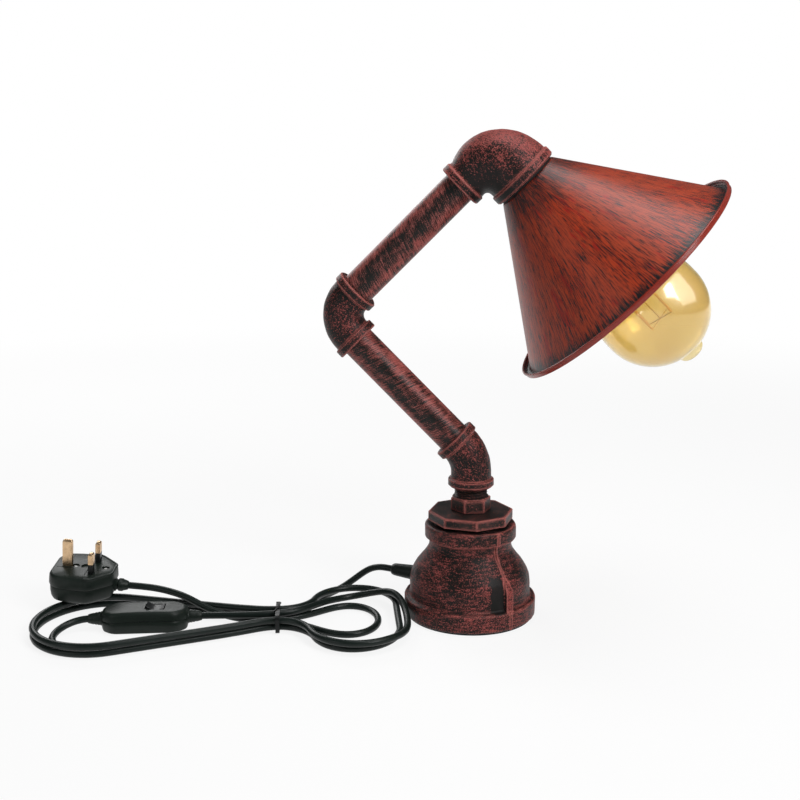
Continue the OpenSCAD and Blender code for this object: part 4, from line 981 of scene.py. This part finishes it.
def plug_piece(name, made, material, slot, stands_for, sharp):
    return piece(name, *made, material, "base", slot, PLUG, stands_for, sharp)


def plug_cutters():
    """The screw holes, the toothed recess and the grooves of the pins' side."""
    holes = [shifted(turned([(0, 21.9), (3.1, 21.9), (3.1, ABOVE_PLUG), (0, ABOVE_PLUG)], 40), x)
             for x in PLUG_SCREWS]
    teeth, middle, crest, root = 12, 1.8, 4.3, 3.7
    gear = []
    for k in range(4 * teeth):
        r, turn = crest if k % 4 < 2 else root, math.pi * k / (2 * teeth)
        gear.append((middle + r * math.cos(turn), r * math.sin(turn)))
    grooves = [block(-21, -7, -5.0, -4.4, 23.4, ABOVE_PLUG)]
    for s in (-1, 1):
        grooves.append(block(4.4, 5.0, *sorted((s * 5.6, s * 16.4)), 23.5, ABOVE_PLUG))
        grooves.append(block(5.4, 14, *sorted((s * 5.6, s * 6.2)), 23.5, ABOVE_PLUG))
    return merged(*holes, skin([[(x, y, z) for x, y in gear] for z in (22.8, ABOVE_PLUG)]), *grooves)


def pin(x, y, half_x, half_y, levels):
    return stacked(rectangle(x - half_x, x + half_x, y - half_y, y + half_y), levels, 0.5)


def line_pair(half_x, half_y, levels):
    """The same solid on both line pins."""
    return merged(*[pin(LINE_X, s * LINE_Y, half_x, half_y, levels) for s in (-1, 1)])


pin_half = plug_piece("plug_pin_half", stacked(PLUG_PLAN, [
    (1.2, 13.0), (1.1, 13.7), (0.25, 14.2), (0, 14.8), (0.1, 18), (0.35, 21.6), (1.0, 23.1), (2.3, PLUG_TOP)], 3.0),
                      BLACK_PLASTIC, "black_plastic", ["plug_base"], 40)
cut(pin_half, *plug_cutters(), PLUG)
rim_points = [(x, y, 23.35) for x, y in round_plan(inset(PLUG_PLAN, 1.5), 2.2, {}) if x > 5]
plug_piece("plug_edge_bead", tube_along(rim_points, [0.6] + [1.15] * (len(rim_points) - 2) + [0.6]),
           BLACK_PLASTIC, "black_plastic", (), 60)
plug_piece("plug_wire_half", merged(
    stacked(PLUG_PLAN, [(5.8, 0), (4.3, 0.45), (2.8, 1.5), (1.5, 4), (0.9, 8), (0.8, 12.3), (1.2, 13.2)], 3.0),
    pointed(turned(PLUG_GRIP, 48), (24, 0, 10))), BLACK_PLASTIC, "black_plastic", ["plug_cover"], 40)
plug_piece("plug_earth_pin", pin(EARTH_X, 0, 4, 2, [(0, 9), (0, 44.9), (0.3, 45.9), (0.9, 46.7)]),
           PIN_BRASS, "pin_brass", ["earth_pin"], 50)
plug_piece("plug_line_pins", line_pair(2, 3.2, [(0, 9), (0, 40.2), (0.3, 41), (0.9, 41.7)]),
           PIN_BRASS, "pin_brass", ["line_pins"], 50)
plug_piece("plug_sleeves", line_pair(2.03, 3.23, [(0, 23.4), (0, 32.4), (0.12, 32.7)]),
           ROCKER, "black_plastic", ["pin_sleeves"], 50)
screw_heads = plug_piece("plug_screw_heads", merged(*[shifted(turned(PLUG_SCREW, 40), x) for x in PLUG_SCREWS]),
                         STEEL, "plain_steel", ["plug_screws"], 40)
SLOT, SLOT_FACES = block(-4, 4, -0.45, 0.45, 22.0, 25)
cut(screw_heads, *merged(*[shifted(([spin(degrees) @ Vector(v) for v in SLOT], SLOT_FACES), x)
                           for x, degrees in zip(PLUG_SCREWS, SLOT_TURNS)]), PLUG)

SWITCH = Matrix.Translation(hank_place((*SWITCH_AT, 0.02))) @ spin(HANK_TURN)
SWITCH_END, GRIP_FROM = 34, 33
SWITCH_PLAN = [(-SWITCH_END, -6.3), (-25, -14), (25, -14), (SWITCH_END, -6.3), (SWITCH_END, 6.3), (25, 14),
               (-25, 14), (-SWITCH_END, 6.3)]
CONE = [(5.6, 0), (5.6, 1.6), (5.1, 2.2), (5.3, 3.2), (4.8, 4.4), (5.0, 5.4), (4.4, 6.6), (4.5, 7.6), (4.0, 9.8),
        (3.5, 11.6)]
SEAM_BOW, SEAM_REACH, DOME = 1.5, 8, 1.3


def bowed(made):
    """Lifts the seam at the middle and lowers the top towards the ends."""
    verts, faces = made
    shaped = []
    for x, y, z in verts:
        near_seam = max(0.0, 1 - abs(z - CORD_IN_Z) / SEAM_REACH)
        lift = SEAM_BOW * near_seam * math.cos(math.pi * min(abs(x), SWITCH_END) / (2 * SWITCH_END))
        shaped.append((x, y, z + lift - DOME * (x / SWITCH_END) ** 2 * smoothstep(13, 18, z)))
    return shaped, faces


def shell(levels, upper):
    """One half of the switch, with its half of the two cord grips."""
    return merged(bowed(stacked(SWITCH_PLAN, levels, 4.0)),
                  pointed(half_turned(CONE, upper), (GRIP_FROM, 0, CORD_IN_Z)),
                  pointed(half_turned(CONE, not upper), (-GRIP_FROM, 0, CORD_IN_Z), -1))


piece("switch_bottom", *shell([(2.4, 0.02), (1.0, 0.7), (0.4, 2.6), (0, 6), (0, 8.2), (0.5, CORD_IN_Z - 0.1)], False),
      BLACK_PLASTIC, "base", "black_plastic", SWITCH, ["switch_base"], 40)
switch_top = piece("switch_top", *shell([(0.5, CORD_IN_Z), (0, 9.6), (0.1, 13), (0.5, 15.6), (1.2, 17.0), (2.4, 17.8),
                                         (4.0, 18.0)], True),
                   BLACK_PLASTIC, "base", "black_plastic", SWITCH, ["switch_cover"], 40)
ROCKER_WELL = block(0.1, 15.9, -5.9, 5.9, 11.4, 20)
cut(switch_top, *ROCKER_WELL, SWITCH)
ROCKER_SIDE = ([(-6.6, -1.5), (-3, -3), (3, -3), (6.6, -1.5)]
               + [(x, 1.4 + 2.0 * (x / 7) ** 2) for x in range(7, -8, -1)])
rocker_rings = [[(x, y, z) for x, z in inset(ROCKER_SIDE, d)]
                for d, y in ((0.35, -5.5), (0, -5.15), (0, 5.15), (0.35, 5.5))]
piece("rocker_cap", *skin(rocker_rings), ROCKER, "rocker", "rocker_black",
      SWITCH @ Matrix.Translation(Vector((8, 0, 16)) * MM) @ spin(10, "Y"), ["switch_rocker"], 40)


def tie_mesh():
    """A flat band round the hank's waist, its twist and its two tails."""
    half, counts = 1.6, {}
    outside, inside = [round_plan(inset(rectangle(-17.75, 17.75, 0.05, 14.85), d), 4.0, counts) for d in (0, 0.8)]
    band = [[(x, y, z) for y, z in loop]
            for loop, x in ((outside, -half), (outside, half), (inside, half), (inside, -half))]
    verts, faces = turned([(0, -2.4), (1.6, -1.8), (2.2, 0), (1.6, 1.8), (0, 2.4)], 20)
    twist = [(x, y + 2, z * 0.55 + 15.2) for x, y, z in verts]
    tail = [(k, 3 + 9 * k / 8, 15.6 - 0.10 * k) for k in range(9)]
    return merged(skin(band, closed=True), (twist, faces),
                  tube_along([(0.25 * k, y, z) for k, y, z in tail], [0.7] * 9, 8),
                  tube_along([(-0.3 * k, 1 - (y - 3) * 0.8, z) for k, y, z in tail], [0.7] * 9, 8))


piece("tie_band", *tie_mesh(), ROCKER, "base", "cord_black", Matrix.Translation(HANK_AT) @ spin(HANK_TURN),
      ["cord_tie"], 50)

GLAND = [(2.9, 37), (5.2, 37), (5.2, 48.6), (6.3, 48.8), (6.5, 49.2), (6.5, 50.2), (6.2, 50.8), (6.1, 53), (5.7, 60),
         (5.25, 67), (5.0, 69.4), (4.4, 70.8), (3.6, 71.6), (2.9, 71.6)]
piece("cord_gland", *turned(GLAND, 64), BLACK_PLASTIC, "base", "black_plastic",
      Matrix.Translation(Vector((0, 0, RELIEF_Z)) * MM) @ spin(RELIEF_TURN) @ spin(90, "Y"), ["strain_relief"], 40)


def cord_curve(name, points):
    """A cord as one curve, on the base."""
    data = bpy.data.curves.new(name, "CURVE")
    data.dimensions = "3D"
    data.bevel_depth = CORD_R
    data.bevel_resolution = 4
    spline = data.splines.new("POLY")
    spline.points.add(len(points) - 1)
    for at, p in zip(spline.points, points):
        at.co = (*p, 1)
    made = placed(name, data)
    data.materials.append(CORD_PVC)
    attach(made, "base")
    return made


LAMP_CORD = smooth(LEAD, 5)[:-1] + HANK[:-1] + smooth(SWITCH_LEAD, 5)
lamp_cord = cord_curve("lamp_cord", LAMP_CORD)
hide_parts("cord_lead", "cord_hank", "cord_switch_lead")
SUPPLY_CORD = smooth(PLUG_LEAD, 5)
supply_cord = cord_curve("supply_cord", SUPPLY_CORD)
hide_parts("cord_plug_lead")
